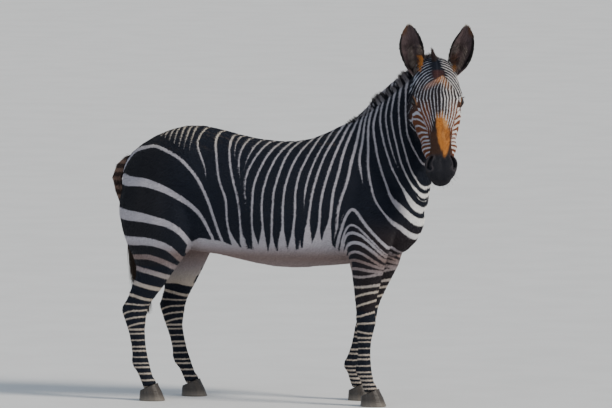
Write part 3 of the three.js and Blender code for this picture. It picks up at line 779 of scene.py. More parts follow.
def wander(points, size, seed):
    """Smooth irregularity between -1 and 1 that varies over `size` mm."""
    total = np.zeros(len(points))
    spin = np.random.default_rng(seed)
    for octave in range(4):
        direction = unit(spin.normal(size=3))
        total += np.sin(points @ direction * 2 * math.pi / (size * (1 + 0.45 * octave)) + spin.uniform(0, 6.28))
    return total / 4


def own_leg(points, kind):
    """x as if the leg stood like the right one, and how far out from the leg's middle (inner side below 0)."""
    shift = np.zeros(len(points))
    out = np.zeros(len(points))
    for side in SIDES:
        here = points[:, 1] > 0 if side == "left" else points[:, 1] <= 0
        height = points[here, 2]
        own_x, own_y = leg_line(f"{kind}_{side}", height)
        right_x, _ = leg_line(f"{kind}_right", height)
        shift[here] = own_x - right_x
        out[here] = np.abs(points[here, 1]) - np.abs(own_y)
    return points[:, 0] - shift, out


def cheek_phase(head):
    """Rings round the face above the brow that turn into slanting and then level bars down the cheek."""
    lateral = np.abs(head[:, 1])
    ring = np.sqrt((1.22 * lateral) ** 2 + (np.minimum(head[:, 0], 188) - 188) ** 2 + 1)
    slant = np.interp(head[:, 0], [178, 215, 260, 300, 345, 380, 420], [0.3, 1.0, 1.1, 1.0, 0.5, 0.15, 0.0])
    low = (head[:, 0] - 190) + slant * (lateral - 95) + 0.15 * np.minimum(head[:, 2] + 60, 0)
    below = smoothstep(head[:, 0], 165, 215)
    return (1 - below) * (118 - ring) / 12.5 + below * np.interp(low, [-300, 0, 60, 230, 500], [-12.5, 0, 2.9, 10.4, 20])


def whorl_line(head):
    """How far down the face the rings above the whorl reach, and the distance from the whorl's side."""
    aside = head[:, 1] - WHORL_SIDE * smoothstep(-head[:, 0], -150, -70)
    return 74 + np.where(aside < 0, -0.63, 0.85) * aside, np.abs(aside)


def spot_at(head, place, radii, side=None):
    """A soft spot on the face, 1 in its middle; on both sides unless `side` is given."""
    across = np.abs(head[:, 1]) if side is None else head[:, 1] * side
    return np.exp(-(((head[:, 0] - place[0]) / radii[0]) ** 2) - ((across - place[1]) / radii[1]) ** 2)


def marking_fields(points, on_head, normals):
    """Everything that the pattern is made of, one value for each point. Inside a region, its field is above 0."""
    x, y, z = points.T
    straight, _ = straightened(points)
    wave = 4 * wander(points, 130, 3)
    fields = {}

    def add(name, family, along, across):
        for key, value in zip(("phase", "pitch", "half"), family.fields(along, across)):
            fields[f"{name}_{key}"] = value

    add("v", FLANK, z, straight + wave)
    hind_x, hind_out = own_leg(points, "hindleg")
    add("r", RUMP, hind_x, -z + wave)
    fore_x, _ = own_leg(points, "foreleg")
    add("f", SHOULDER, fore_x, -z + 0.7 * wave)
    gap = np.interp(x, [-340, -240], [26, 6])
    fields["r_in"] = (fields["r_phase"] - 1) * np.minimum(fields["r_pitch"], 130) + 16
    fields["r_out"] = -fields["r_in"] - gap
    fields["f_in"] = np.minimum(fields["f_phase"] * np.minimum(fields["f_pitch"], 100) + 12, (x - 250) * 0.5)
    edge = np.array(BELLY_EDGE, float)
    belly = np.interp(x, edge[:, 0], edge[:, 1]) - z
    belly = np.minimum(np.where(x > 420, -80, belly), z - 570)
    narrowed = 12 + 0.55 * np.maximum(z - 640, 0) + 9 * wander(points, 60, 8)
    inner = np.minimum(np.minimum(-hind_out - narrowed, 800 - z), np.minimum(z - 500, -220 - x))
    fields["cream"] = np.maximum(np.minimum(belly * 0.7, 60), inner)
    spine = np.where((z > 1040) & (x < 430), np.abs(y) - 7, 60)
    fields["spine"] = np.minimum(spine, 60)
    head = to_head(points)
    lateral = np.abs(head[:, 1])
    edge_of_rings, from_whorl = whorl_line(head)
    spread = np.interp(head[:, 0], [50, 85, 120, 178, 240, 308, 430], [7, 9.5, 12.6, 15.2, 12.6, 8.4, 8])
    fields["n_phase"] = from_whorl / spread + 0.5 + 0.20 * wander(points, 58, 5) + 0.11 * wander(points, 24, 7)
    fields["n_pitch"] = spread
    reach = head[:, 0] - 1.1 * np.maximum(lateral - 18, 0)
    # sunlit_side is the head's left half: the face's white lines are drawn wider there and thinner on the other half,
    # as painted light and shade.
    sunlit_side = smoothstep(head[:, 1], -10, 35)
    fields["n_half"] = spread * np.interp(reach, [60, 120, 200, 262, 300], [0.14, 0.17, 0.20, 0.17, -0.1])
    fields["n_half"] *= 0.60 + 0.56 * sunlit_side - 0.16 * spot_at(head, (170, -8), (60, 22), 1)
    fields["k_phase"] = cheek_phase(head) + 0.16 * wander(points, 90, 6)
    local = normals @ HEAD_AXES.T
    slope = np.stack([cheek_phase(head + 3.0 * axis) - cheek_phase(head) for axis in np.eye(3)], 1) / 3
    slope = slope - (slope * local).sum(1)[:, None] * local
    fields["k_pitch"] = 1 / np.clip(np.linalg.norm(slope, axis=1), 1 / 60, 1 / 6)
    fields["k_half"] = np.interp(head[:, 0], [0, 150, 200, 250, 420], [1.8, 2.2, 3.3, 4.5, 4.3]) * (0.76 + 0.44 * sunlit_side)
    fields["k_half"] -= 1.6 * smoothstep(-head[:, 2], 75, 115)
    fields["k_half"] -= 9 * spot_at(head, (66, 5), (20, 26), 1) + 9 * spot_at(head, (24, -3), (24, 17), 1)
    fields["k_half"] += 7 * spot_at(head, (228, 97), (10, 15)) - 8 * spot_at(head, (205, 100), (9, 14))
    fields["k_half"] += 6 * spot_at(head, (72, 97), (22, 11))
    bare = np.max([1 - smoothstep(off_lids(points, side)[0], 3, 13) for side in (-1, 1)], axis=0) * on_head
    fields["k_half"] -= 9 * bare
    fields["n_half"] -= 9 * bare
    whorl = 0.72 * (edge_of_rings - head[:, 0])
    rim = np.interp(head[:, 0], [84, 160, 195, 260, 316, 363, 410, 600], [140, 96, 88, 72, 58, 48, 44, 44])
    fields["k_in"] = np.maximum(whorl, 0.8 * (lateral - rim))
    fields["h_in"] = (on_head - 0.5) * 60
    nose = np.interp(lateral, [0, 22, 40, 46, 54, 80], [262, 268, 330, 400, 432, 448])
    fields["muzzle"] = head[:, 0] - nose + 4 * wander(points, 40, 8)
    return fields


def whiteness(f, op):
    """Signed distance in mm into the white, from the fields f, by op(name, a, b) on arrays or sockets."""
    def lines(name):
        return op("SUBTRACT", f[name + "_half"], op("MULTIPLY", op("PINGPONG", f[name + "_phase"], 0.5), f[name + "_pitch"]))

    def least(a, b):
        return op("MINIMUM", a, b)

    def most(a, b):
        return op("MAXIMUM", a, b)

    def less(a, margin):
        return op("SUBTRACT", op("MULTIPLY", a, -1.0), margin)

    white = most(least(lines("v"), f["r_out"]), least(lines("r"), f["r_in"]))
    white = most(least(white, less(f["f_in"], 7.0)), least(lines("f"), f["f_in"]))
    white = least(most(white, f["cream"]), f["spine"])
    face = most(least(lines("n"), less(f["k_in"], 1.0)), least(lines("k"), f["k_in"]))
    face = least(face, less(f["muzzle"], 0.0))
    return most(least(white, less(f["h_in"], 0.0)), least(face, f["h_in"]))


def on_arrays(name, a, b):
    return {
        "SUBTRACT": lambda: a - b,
        "MULTIPLY": lambda: a * b,
        "MINIMUM": lambda: np.minimum(a, b),
        "MAXIMUM": lambda: np.maximum(a, b),
        "PINGPONG": lambda: np.abs(a - np.round(a)) if b == 0.5 else None,
    }[name]()


def tones(points, on_head):
    """The pale and the dark colour of the coat at each point, as linear RGB, with painted light and shade in them: a
    painted sky reflection in the black, painted shade on the flank, belly and one side of the face, painted sunlight on
    the back, the chest and the other side of the face, and a painted highlight on the nose.
    """
    x, y, z = points.T
    count = len(points)
    # The pale is a dim mauve grey: the coat's white darkened by painted shade over the flank, neck, shoulder and rump.
    pale = np.tile([0.41, 0.385, 0.42], (count, 1))
    # The black has a navy tint: a painted reflection of the blue sky on the sleek hair.
    dark = np.tile([0.0050, 0.0076, 0.0160], (count, 1))

    def wash(base, share, colour):
        share = np.clip(share, 0, 1)[:, None]
        return base * (1 - share) + np.array(colour) * share

    # Warm cream over the back and croup: partly the coat's own tint, partly painted sunlight on the top.
    pale = wash(pale, 0.8 * smoothstep(z, 1080, 1210) * smoothstep(-x, -360, -120), (0.70, 0.61, 0.47))
    # Near-white on the front of the chest: painted sunlight, brighter than the pale elsewhere.
    pale = wash(pale, 0.95 * smoothstep(x, 600, 690) * smoothstep(-z, -1060, -960), (0.86, 0.84, 0.81))
    # Dark brownish grey on the belly and the undersides of the thighs: painted shade under the body.
    under = smoothstep(-z, -720, -640) * smoothstep(-np.abs(y), -262, -200)
    pale = wash(pale, 0.92 * under * smoothstep(z, 470, 660), (0.185, 0.125, 0.110))
    pale = wash(pale, 0.8 * smoothstep(-z, -600, -480), (0.54, 0.45, 0.35))
    dark = wash(dark, 0.4 * smoothstep(-x, 300, 520) * (z > 600), (0.016, 0.012, 0.010))
    dark = wash(dark, 0.55 * smoothstep(x, 380, 480) * smoothstep(-z, -860, -720) * (z > 420), (0.024, 0.013, 0.011))
    grizzle = smoothstep(wander(points, 17, 51) + 0.5 * wander(points, 7, 52), 0.25, 0.8) * smoothstep(z, 1090, 1180)
    dark = wash(dark, 0.55 * grizzle * (x < 330) * (x > -640), (0.085, 0.060, 0.045))
    head = to_head(points)
    lateral = np.abs(head[:, 1])
    face = np.clip(on_head, 0, 1)
    # sunlit_side is the head's left half, turned to the light: there the pale is raised as painted sunlight, and on the
    # other half it is washed blue-grey as painted shade, most above the eyes.
    sunlit_side = smoothstep(head[:, 1], -25, 40)
    pale = wash(pale, face, (0.58, 0.555, 0.56))
    pale = wash(pale, 0.5 * face * sunlit_side, (0.82, 0.78, 0.73))
    pale = wash(pale, 0.55 * face * (1 - sunlit_side), (0.33, 0.35, 0.44))
    pale = wash(pale, 0.6 * face * (1 - sunlit_side) * smoothstep(-head[:, 0], -110, -60), (0.30, 0.34, 0.44))
    cheek = smoothstep(head[:, 0], 168, 240) * smoothstep(lateral, 30, 56) * smoothstep(head[:, 2], -175, -120)
    dark = wash(dark, face * 0.5 * smoothstep(head[:, 0], 60, 170), (0.026, 0.016, 0.014))
    dark = wash(dark, face * (0.62 + 0.3 * sunlit_side) * cheek, (0.205, 0.062, 0.019))
    edge_of_rings, _ = whorl_line(head)
    rim = edge_of_rings - head[:, 0]
    above = smoothstep(rim, 0, 8) * np.exp(-(((head[:, 1] - 5) / 27) ** 4)) * smoothstep(head[:, 0], 42, 56)
    dark = wash(dark, face * 0.85 * above, (0.060, 0.021, 0.019))
    tuft = smoothstep(-rim, -5, 3) * smoothstep(rim, -44, -12) * np.exp(-(((head[:, 1] + 6) / 52) ** 4))
    # The orange patch lies off the middle, towards the sunlit side; its half on the shaded side is left to the dark
    # brown beside it, as painted shade.
    stations = [236, 300, 340, 363, 386, 405, 425, 446, 458]
    left_edge = np.interp(head[:, 0], stations, [-15, -16, -18, -17, -8, 0, 5, 8, 11])
    right_edge = np.interp(head[:, 0], stations, [34, 37, 40, 41, 40, 35, 25, 17, 13])
    ragged = 5.0 * wander(head * (0.35, 1, 1), 13, 15)
    orange = smoothstep(head[:, 0] - 26 * wander(head * (0.15, 1, 1), 12, 18), 226, 284)
    orange *= smoothstep(head[:, 1] - left_edge + ragged, -4, 6) * smoothstep(right_edge - head[:, 1] + ragged, -4, 8)
    orange *= smoothstep(-head[:, 0], -458, -440)
    # Dark brown along the nose beside the orange patch, full on the shaded side and half on the sunlit side: partly the
    # coat's own dark brown, partly painted shade over the shaded half of the orange patch.
    beside = smoothstep(head[:, 0], 300, 345) * smoothstep(-head[:, 0], -446, -420) * smoothstep(-lateral, -56, -44)
    dark = wash(dark, face * beside * (1 - orange) * (1 - 0.5 * sunlit_side), (0.050, 0.023, 0.014))
    streak = 0.5 + 0.5 * wander(points, 26, 12)
    pinkish = (smoothstep(-head[:, 1], -14, 30))[:, None]
    crown = np.array([0.46, 0.175, 0.035]) * (1 - pinkish) + np.array([0.34, 0.185, 0.15]) * pinkish
    dark = wash(dark, face * 0.8 * tuft * (0.55 + 0.45 * streak), crown)
    pale = wash(pale, 0.55 * face * tuft, (0.50, 0.27, 0.13))
    dark = wash(dark, face * orange, (0.46, 0.175, 0.032))
    # A painted highlight: pale yellow streaks down the upper part of the orange patch, where light glints on the hair.
    painted_gleam = orange * smoothstep(wander(head * (0.22, 1, 1), 15, 16), -0.1, 0.6) * smoothstep(-head[:, 0], -385, -260)
    dark = wash(dark, 0.6 * face * painted_gleam, (0.72, 0.44, 0.20))
    shade = orange * smoothstep(wander(head * (0.22, 1, 1), 13, 17), 0.05, 0.6)
    dark = wash(dark, 0.55 * face * shade, (0.21, 0.070, 0.016))
    corner = face * spot_at(head, (205, 100), (12, 17))
    dark = wash(dark, 0.9 * corner, (0.040, 0.020, 0.014))
    for side in (-1, 1):
        gap, over = off_lids(points, side)
        fold = face * np.exp(-(((gap - 7.5) / 4) ** 2)) * smoothstep(over, 1, 7)
        pale, dark = wash(pale, 0.85 * fold, (0.27, 0.125, 0.060)), wash(dark, 0.85 * fold, (0.27, 0.125, 0.060))
        bare = face * (1 - smoothstep(gap, 1.5, 4.8))
        pale, dark = wash(pale, bare, (0.009, 0.008, 0.009)), wash(dark, bare, (0.009, 0.008, 0.009))
    snout = face * smoothstep(head[:, 0] - 6 * wander(points, 34, 14), 418, 448) * (1 - orange)
    dark = wash(dark, snout, (0.0105, 0.0105, 0.0150))
    opening, _ = off_nostril(head)
    wing = snout * np.exp(-(((opening - 10) / 4) ** 2))
    dark = wash(dark, 0.7 * wing, (0.052, 0.045, 0.050))
    lip = face * smoothstep(head[:, 0], 470, 500) * smoothstep(-head[:, 2], 84, 100)
    dark = wash(dark, 0.5 * lip, (0.060, 0.034, 0.024))
    return pale, dark


# ---- Coat material ----
def put(mesh, name, values):
    """A value or colour for each vertex of a mesh, for its material to read."""
    if values.ndim == 1:
        mesh.attributes.new(name, "FLOAT", "POINT").data.foreach_set("value", values.astype(np.float32))
        return
    colours = np.concatenate([values, np.ones((len(values), 1))], 1).astype(np.float32)
    mesh.attributes.new(name, "FLOAT_COLOR", "POINT").data.foreach_set("color", colours.ravel())


FIELD_NAMES = [f"{family}_{part}" for family in "vrfnk" for part in ("phase", "pitch", "half")]
FIELD_NAMES += ["r_in", "r_out", "f_in", "k_in", "h_in", "cream", "spine", "muzzle"]


def coat_shader():
    shader = Shader("zebra_coat", roughness=0.7, sheen=0.04, specular=0.2)
    fields = {name: shader.value(name) for name in FIELD_NAMES}
    width = whiteness(fields, shader.math)
    ragged = shader.ramp(shader.noise(240.0, 3.0), 0.2, 0.8, -2.0, 2.0)
    share = shader.ramp(shader.math("ADD", width, ragged), -1.6, 1.6)
    strand = shader.noise(420.0, 3.0, stretch=(0.25, 1.0, 0.5), rough=0.6)
    base = shader.mix(share, shader.tint("dark"), shader.tint("pale"))
    shade = shader.ramp(strand, 0.3, 0.7, 0.82, 1.1)
    shader.colour(shader.node("ShaderNodeVectorMath", {0: base, "Scale": shade}, operation="SCALE"))
    shader.bump(strand, 0.0012, 0.5)
    return shader.material


# ---- Eyes ----
LID_LENGTH = 19.5  # half the opening between the lids
LID_UPPER = 11.0
LID_LOWER = 8.0


def eye_axes(side):
    """Rows: out of the eye, towards the nose along the opening, and towards the upper lid, in the animal's frame."""
    out = unit(np.array([0.08, side * 0.86, 0.44]))
    nose = np.array([0.74, 0.0, 0.50])
    nose = unit(nose - (nose @ out) * out)
    upper = np.cross(out, nose)
    upper *= np.sign(upper[2] - upper[0])
    return np.array([out, nose, upper]) @ HEAD_AXES


def eye_centre(side):
    return POLL + ((EYE_AT - (0, 8, 0)) * [1, side, 1]) @ HEAD_AXES


def ball(rings, around):
    """Directions over a sphere whose pole is the first axis, with triangles."""
    polar = np.linspace(0, math.pi, rings + 1)[1:-1]
    turn = 2 * math.pi * np.arange(around) / around
    ring = np.stack([np.repeat(np.cos(polar), around), np.outer(np.sin(polar), np.cos(turn)).ravel(),
                     np.outer(np.sin(polar), np.sin(turn)).ravel()], 1)
    points = np.concatenate([ring, [[1, 0, 0], [-1, 0, 0]]])
    count = rings - 1
    faces = []
    for i in range(count - 1):
        for j in range(around):
            a, b = i * around + j, i * around + (j + 1) % around
            faces += [(a, a + around, b), (b, a + around, b + around)]
    for j in range(around):
        last = (count - 1) * around
        faces.append((len(ring), j, (j + 1) % around))
        faces.append((len(ring) + 1, last + (j + 1) % around, last + j))
    return points, np.array(faces)


def eye_shader():
    """Dark brown iris with a wide level pupil under a clear wet surface."""
    shader = Shader("eye_iris", roughness=0.12, specular=0.35, coat=0.3)
    across, level = shader.value("along_lids"), shader.value("over_lids")
    pupil = shader.math("ADD", shader.math("POWER", shader.math("DIVIDE", across, 0.40), 2.0),
                        shader.math("POWER", shader.math("DIVIDE", level, 0.20), 2.0))
    iris = shader.math("SQRT", shader.math("ADD", shader.math("POWER", across, 2.0), shader.math("POWER", level, 2.0)))
    streak = shader.noise(900.0, 3.0)
    brown = shader.mix(shader.ramp(streak, 0.3, 0.7), (0.012, 0.006, 0.004), (0.034, 0.016, 0.009))
    inner = shader.mix(shader.ramp(pupil, 0.75, 1.25), (0.002, 0.002, 0.003), brown)
    shader.colour(shader.mix(shader.ramp(iris, 0.66, 0.76), inner, (0.022, 0.014, 0.011)))
    return shader.material


def build_eye(name, side, material):
    """The eyeball, with the cornea's swelling."""
    axes = eye_axes(side)
    directions, faces = ball(26, 44)
    swell = 1.6 * smoothstep(directions[:, 0], 0.72, 0.95)
    local = directions * (EYE_RADIUS - 0.6 + swell)[:, None]
    points = eye_centre(side) + local @ axes
    mesh = mesh_of("eyeball_" + name, points, faces if side > 0 else faces[:, ::-1])
    put(mesh, "along_lids", directions[:, 1])
    put(mesh, "over_lids", directions[:, 2])
    piece("eyeball_" + name, mesh, material, "eye", ["eye_" + name])


def off_lids(points, side):
    """Distance outside the opening between one eye's lids, along the face, and how far towards the upper lid."""
    local = (points - eye_centre(side)) @ eye_axes(side).T
    high = np.where(local[:, 2] > 0, LID_UPPER, LID_LOWER)
    round_eye = np.hypot(local[:, 1] / LID_LENGTH, local[:, 2] / high)
    far = np.hypot(local[:, 1], local[:, 2]) * (1 - 1 / np.maximum(round_eye, 0.2))
    return np.where(local[:, 0] > -25, far, 200.0), local[:, 2]


def lid_edge(turn, offset):
    """Place on the lids, along and over the opening, `offset` mm outside its edge, at a turn round it."""
    high = np.where(np.sin(turn) > 0, LID_UPPER, LID_LOWER)
    along = LID_LENGTH * np.cos(turn) * (1 + 0.10 * np.maximum(np.cos(turn), 0))
    over = high * np.sin(turn) * (1 - 0.12 * np.cos(turn))
    normal = unit(np.stack([np.cos(turn) * high, np.sin(turn) * LID_LENGTH], 1))
    return along + offset * normal[:, 0], over + offset * normal[:, 1]


def build_lids(name, side, skin_tree, material):
    """Two lids round the eye, one ring of skin that starts on the eyeball and dips under the face's skin."""
    axes, centre = eye_axes(side), eye_centre(side)
    count = 72
    turn = 2 * math.pi * np.arange(count) / count
    upper = smoothstep(np.sin(turn), -0.2, 0.5)
    rows = [(-1.2, EYE_RADIUS - 1.5), (0.0, EYE_RADIUS + 0.4), (0.9, EYE_RADIUS + 2.6), (2.4, EYE_RADIUS + 3.6),
            (4.4, EYE_RADIUS + 3.7), (6.8, EYE_RADIUS + 2.9), (8.8, EYE_RADIUS + 1.9), (10.6, EYE_RADIUS + 3.2),
            (13.4, EYE_RADIUS + 4.6), (17.0, EYE_RADIUS + 3.6)]
    points = []
    for offset, radius in rows:
        along, over = lid_edge(turn, offset)
        flat = np.hypot(along, over)
        rise = radius + (offset > 6) * upper * 1.3
        out = np.sqrt(np.maximum(rise ** 2 - np.minimum(flat, rise * 0.93) ** 2, 0))
        points.append(centre + np.stack([out, along, over], 1) @ axes)
    for offset, sink in ((22.0, 0.2), (27.0, 2.2), (31.0, 5.0)):
        along, over = lid_edge(turn, offset)
        rough = centre + np.stack([np.full(count, 14.0), along, over], 1) @ axes
        found = [skin_tree.find_nearest(p) for p in rough.tolist()]
        points.append(np.array([place - sink * normal for place, normal, _, _ in found]))
    grid = np.array(points)
    blend = 0.5 * (grid[8] + grid[10])
    grid[9] = 0.45 * grid[9] + 0.55 * blend
    rows_made = len(grid)
    faces = []
    for i in range(rows_made - 1):
        for j in range(count):
            a, b = i * count + j, i * count + (j + 1) % count
            faces.append((a, b, b + count, a + count))
    under = grid[-1] - 4 * axes[0]
    hidden = grid[0] - 5 * axes[0]
    flat = np.concatenate([grid.reshape(-1, 3), under, hidden])
    last, inner = (rows_made - 1) * count, (rows_made + 1) * count
    for j in range(count):
        k = (j + 1) % count
        faces.append((last + j, last + k, last + count + k, last + count + j))
        faces.append((last + count + j, last + count + k, inner + k, inner + j))
        faces.append((inner + j, inner + k, k, j))
    faces = np.array(faces)
    mesh = mesh_of("lids_" + name, flat, faces if side < 0 else faces[:, ::-1])
    normals = normals_of(flat, halves(np.array(faces if side < 0 else faces[:, ::-1])))
    ones = np.ones(len(flat))
    for key, value in marking_fields(flat, ones, normals).items():
        put(mesh, key, value)
    for key, value in zip(("pale", "dark"), tones(flat, ones)):
        put(mesh, key, value)
    piece("lids_" + name, mesh, material, "coat")
    return flat[: rows_made * count], halves(faces[: (rows_made - 1) * count] if side < 0 else faces[: (rows_made - 1) * count, ::-1])


def halves(faces):
    """Four-cornered faces as triangles."""
    return np.concatenate([faces[:, [0, 1, 2]], faces[:, [0, 2, 3]]])


def build_lashes(name, side, fur):
    """Short stiff hairs along the edge of the upper lid."""
    axes, centre = eye_axes(side), eye_centre(side)
    count = 110
    turn = RNG.uniform(0.35, 2.75, count)
    along, over = lid_edge(turn, RNG.uniform(0.4, 2.2, count))
    roots = centre + np.stack([np.full(count, 19.5), 0.94 * along, 0.94 * over], 1) @ axes
    start = np.stack([np.full(count, 0.9), 0.35 * np.cos(turn), np.full(count, 0.25)], 1)
    end = np.stack([np.full(count, 0.65), 0.45 * np.cos(turn), np.full(count, -0.65)], 1)
    start, end = (unit(way + RNG.normal(0, 0.08, way.shape)) @ axes for way in (start, end))
    tone = np.array([0.012, 0.009, 0.008]) * RNG.uniform(0.7, 1.4, (count, 1))
    place = np.stack([turn / 7, np.full(count, 0.2 + 0.3 * (side > 0))], 1)
    length = RNG.uniform(10, 17, count)
    strands("lashes_" + name, roots, start, end, length, np.full(count, 0.9), tone, tone, place, fur, "eye", rings=3)


def build_whiskers(fur):
    """Long stiff hairs on the lips and chin."""
    head = to_head(skin_points)
    spots = np.nonzero((head[:, 0] > 462) & (head[:, 2] < -42) & (share["head"] > 0.5))[0]
    chosen = RNG.choice(spots, 130, replace=False)
    count = len(chosen)
    out = skin_normals[chosen]
    start = unit(out + RNG.normal(0, 0.18, out.shape))
    end = unit(out + HEAD_AXES[0] * 0.5 + [0, 0, -0.5] + RNG.normal(0, 0.2, out.shape))
    tone = np.array([0.020, 0.016, 0.014]) * RNG.uniform(0.6, 2.2, (count, 1))
    place = np.stack([0.1 + 0.8 * RNG.random(count), RNG.uniform(0.1, 0.9, count)], 1)
    roots = skin_points[chosen] - 1.0 * out
    strands("whiskers", roots, start, end, RNG.uniform(14, 44, count), np.full(count, 0.75), tone, tone, place, fur, "coat")


# ---- Hair ----
PATCH = 0.0015  # half the size of a tuft's patch in its coat's map


def chart(points, part):
    """Place of each point on its own part's unwrapped skin, 0 to 1 both ways."""
    x, y, z = points.T
    if part == "trunk":
        return np.stack([(x + 700) / 1450, np.arctan2(y, z - 900) / (2 * math.pi) + 0.5], 1)
    if part == "neck":
        straight_x, straight_y = straightened(points)
        ahead = straight_x - (570 + 0.42 * (z - 1150))
        return np.stack([(z - 680) / 900, np.arctan2(straight_y, ahead) / (2 * math.pi) + 0.5], 1)
    if part == "head":
        head = to_head(points)
        return np.stack([(head[:, 0] + 60) / 640, np.arctan2(head[:, 1], head[:, 2] + 95) / (2 * math.pi) + 0.5], 1)
    leg_x, leg_y = leg_line(part, z)
    low = {"foreleg": 0.0, "hindleg": 0.5}[part.split("_")[0]]
    turn = np.arctan2(y - leg_y, x - leg_x) / (4 * math.pi) + 0.25 + low
    return np.stack([z / 1200, turn], 1)


def put_map(mesh, corners):
    """The map for the export, from a place for each face corner."""
    layer = mesh.uv_layers.new(name="OFBake")
    layer.uv.foreach_set("vector", np.ascontiguousarray(np.clip(corners, 0.001, 0.999), np.float32).ravel())


SLIVER = np.array([[0, 1, 3], [0, 2, 1], [1, 2, 3], [0, 3, 2]])
SLIVER_PATCH = PATCH * np.array([[-1, -1], [1, -1], [0, 0], [0, 1]])


def slivers(name, roots, normals, along, length, width, lift, tone, place, material, slot):
    """A coat piece of small pointed tufts, each a closed four-sided sliver that lies along the skin."""
    across = unit(np.cross(normals, along)) * (width / 2)[:, None]
    low = roots - 0.9 * normals
    ridge = roots + (0.35 * length)[:, None] * along + (0.4 * lift + 0.22 * width)[:, None] * normals
    tip = roots + length[:, None] * along + lift[:, None] * normals
    points = np.stack([low - across, low + across, ridge, tip], 1)
    count = len(roots)
    faces = (SLIVER[None] + 4 * np.arange(count)[:, None, None]).reshape(-1, 3)
    mesh = mesh_of(name, points.reshape(-1, 3), faces)
    put(mesh, "tone", np.repeat(tone, 4, axis=0))
    corners = place[:, None, None, :] + SLIVER_PATCH[SLIVER][None]
    put_map(mesh, corners.reshape(-1, 2))
    return piece(name, mesh, material, slot, smooth=False)


def strands(name, roots, start, end, length, width, tone_root, tone_tip, place, material, slot, rings=4, turn=1.0):
    """A piece of long tapering locks, each a closed three-sided spike bent from `start` towards `end`."""
    count = len(roots)
    t = np.linspace(0, 1, rings + 1)
    middle = roots + 0.5 * length[:, None] * start
    tip = middle + 0.5 * length[:, None] * end
    line = [(1 - s) ** 2 * roots + 2 * s * (1 - s) * middle + s * s * tip for s in t]
    side = unit(np.cross(start, RNG.normal(size=(count, 3))))
    other = unit(np.cross(start, side))
    rows = []
    for s, centre in zip(t[:-1], line[:-1]):
        reach = (width * (0.55 + 0.45 * math.sin(math.pi * min(s * 1.6 + 0.15, 1))) * (1 - s ** 2))[:, None]
        for angle in (0, 2 * math.pi / 3, 4 * math.pi / 3):
            rows.append(centre + 0.5 * reach * (math.cos(angle) * side + math.sin(angle) * 0.6 * other))
    rows.append(line[-1])
    points = np.stack(rows, 1)
    size = 3 * rings + 1
    faces = [(0, 2, 1)]
    for i in range(rings - 1):
        for j in range(3):
            a, b = 3 * i + j, 3 * i + (j + 1) % 3
            faces += [(a, b, b + 3), (a, b + 3, a + 3)]
    base = 3 * (rings - 1)
    faces += [(base + j, base + (j + 1) % 3, size - 1) for j in range(3)]
    faces = np.array(faces)
    step = np.concatenate([np.repeat(t[:-1], 3), [1.0]])
    late = (step ** turn)[None, :, None]
    tone = tone_root[:, None] * (1 - late) + tone_tip[:, None] * late
    every = (faces[None] + size * np.arange(count)[:, None, None]).reshape(-1, 3)
    mesh = mesh_of(name, points.reshape(-1, 3), every)
    put(mesh, "tone", tone.reshape(-1, 3))
    offset = PATCH * np.stack([np.concatenate([np.tile([-1.0, 0.0, 1.0], rings), [0.0]]), 2 * step - 1], 1)
    corners = place[:, None, None, :] + offset[faces][None]
    put_map(mesh, corners.reshape(-1, 2))
    return piece(name, mesh, material, slot)


def hair_shader(name, roughness=0.6, sheen=0.03):
    shader = Shader(name, roughness=roughness, sheen=sheen, specular=0.2)
    fleck = shader.ramp(shader.noise(700.0, 2.0), 0.3, 0.7, 0.86, 1.12)
    tone = shader.tint("tone")
    shader.colour(shader.node("ShaderNodeVectorMath", {0: tone, "Scale": fleck}, operation="SCALE"))
    return shader.material


def scattered(points, triangles, here, density):
    """Random places on the chosen triangles: the triangle of each, and its weights for the three corners."""
    a, b, c = (points[triangles[here][:, k]] for k in range(3))
    area = 0.5 * np.linalg.norm(np.cross(b - a, c - a), axis=1) * density[here]
    total = int(area.sum())
    reach = (np.arange(total) + RNG.random(total)) / total * area.sum()
    chosen = np.minimum(np.searchsorted(np.cumsum(area), reach), len(area) - 1)
    u, v = RNG.random((2, total))
    flip = u + v > 1
    u[flip], v[flip] = 1 - u[flip], 1 - v[flip]
    return np.nonzero(here)[0][chosen], np.stack([1 - u - v, u, v], 1)


def hair_flow(points, share):
    """The way the hair lies, before it is laid on the skin."""
    x, y, z = points.T
    count = len(points)
    rear = smoothstep(-x, 560, 660)[:, None]
    front = smoothstep(x, 560, 690)[:, None]
    trunk = np.array([-1.0, 0, -0.32]) * (1 - rear) * (1 - front) + np.array([-0.2, 0, -1.0]) * np.maximum(rear, front)
    spine = (np.abs(y) < 22) & (z > 1040) & (x > -600) & (x < 430)
    trunk[spine] = [1.0, 0, 0.0]
    rows = np.array(NECK_BENDS, float)
    straight_x, _ = straightened(points)
    turn = np.radians(np.interp(straight_x, rows[:, 0], rows[:, 2]))
    neck = np.stack([-0.62 * np.cos(turn), -0.62 * np.sin(turn), np.full(count, -0.78)], 1)
    head = to_head(points)
    aside = 0.35 * smoothstep(-head[:, 2], 50, 120) * np.sign(head[:, 1])
    above = smoothstep(-head[:, 0], -95, -60)
    face = np.stack([np.where(above > 0.5, 0.3, 1.0), aside + 0.8 * above * np.sign(head[:, 1]),
                     -0.5 * np.abs(aside)], 1) @ HEAD_AXES
    thigh = np.tile([-0.45, 0, -1.0], (count, 1))
    shank = np.tile([-0.08, 0, -1.0], (count, 1))
    kinds = {"trunk": trunk, "neck": neck, "head": face, "thigh": thigh, "shank": shank}
    return sum(unit(way) * share[kind][:, None] for kind, way in kinds.items())


# For each kind of part: tuft length, width, lift of the tip, and tufts for each square millimetre.
COAT = {
    "trunk": (10.5, 2.6, 1.9, 0.047),
    "neck": (10.5, 2.5, 2.0, 0.052),
    "head": (6.6, 1.65, 1.0, 0.165),
    "thigh": (9.5, 2.4, 1.7, 0.052),
    "shank": (7.5, 1.9, 1.1, 0.088),
}


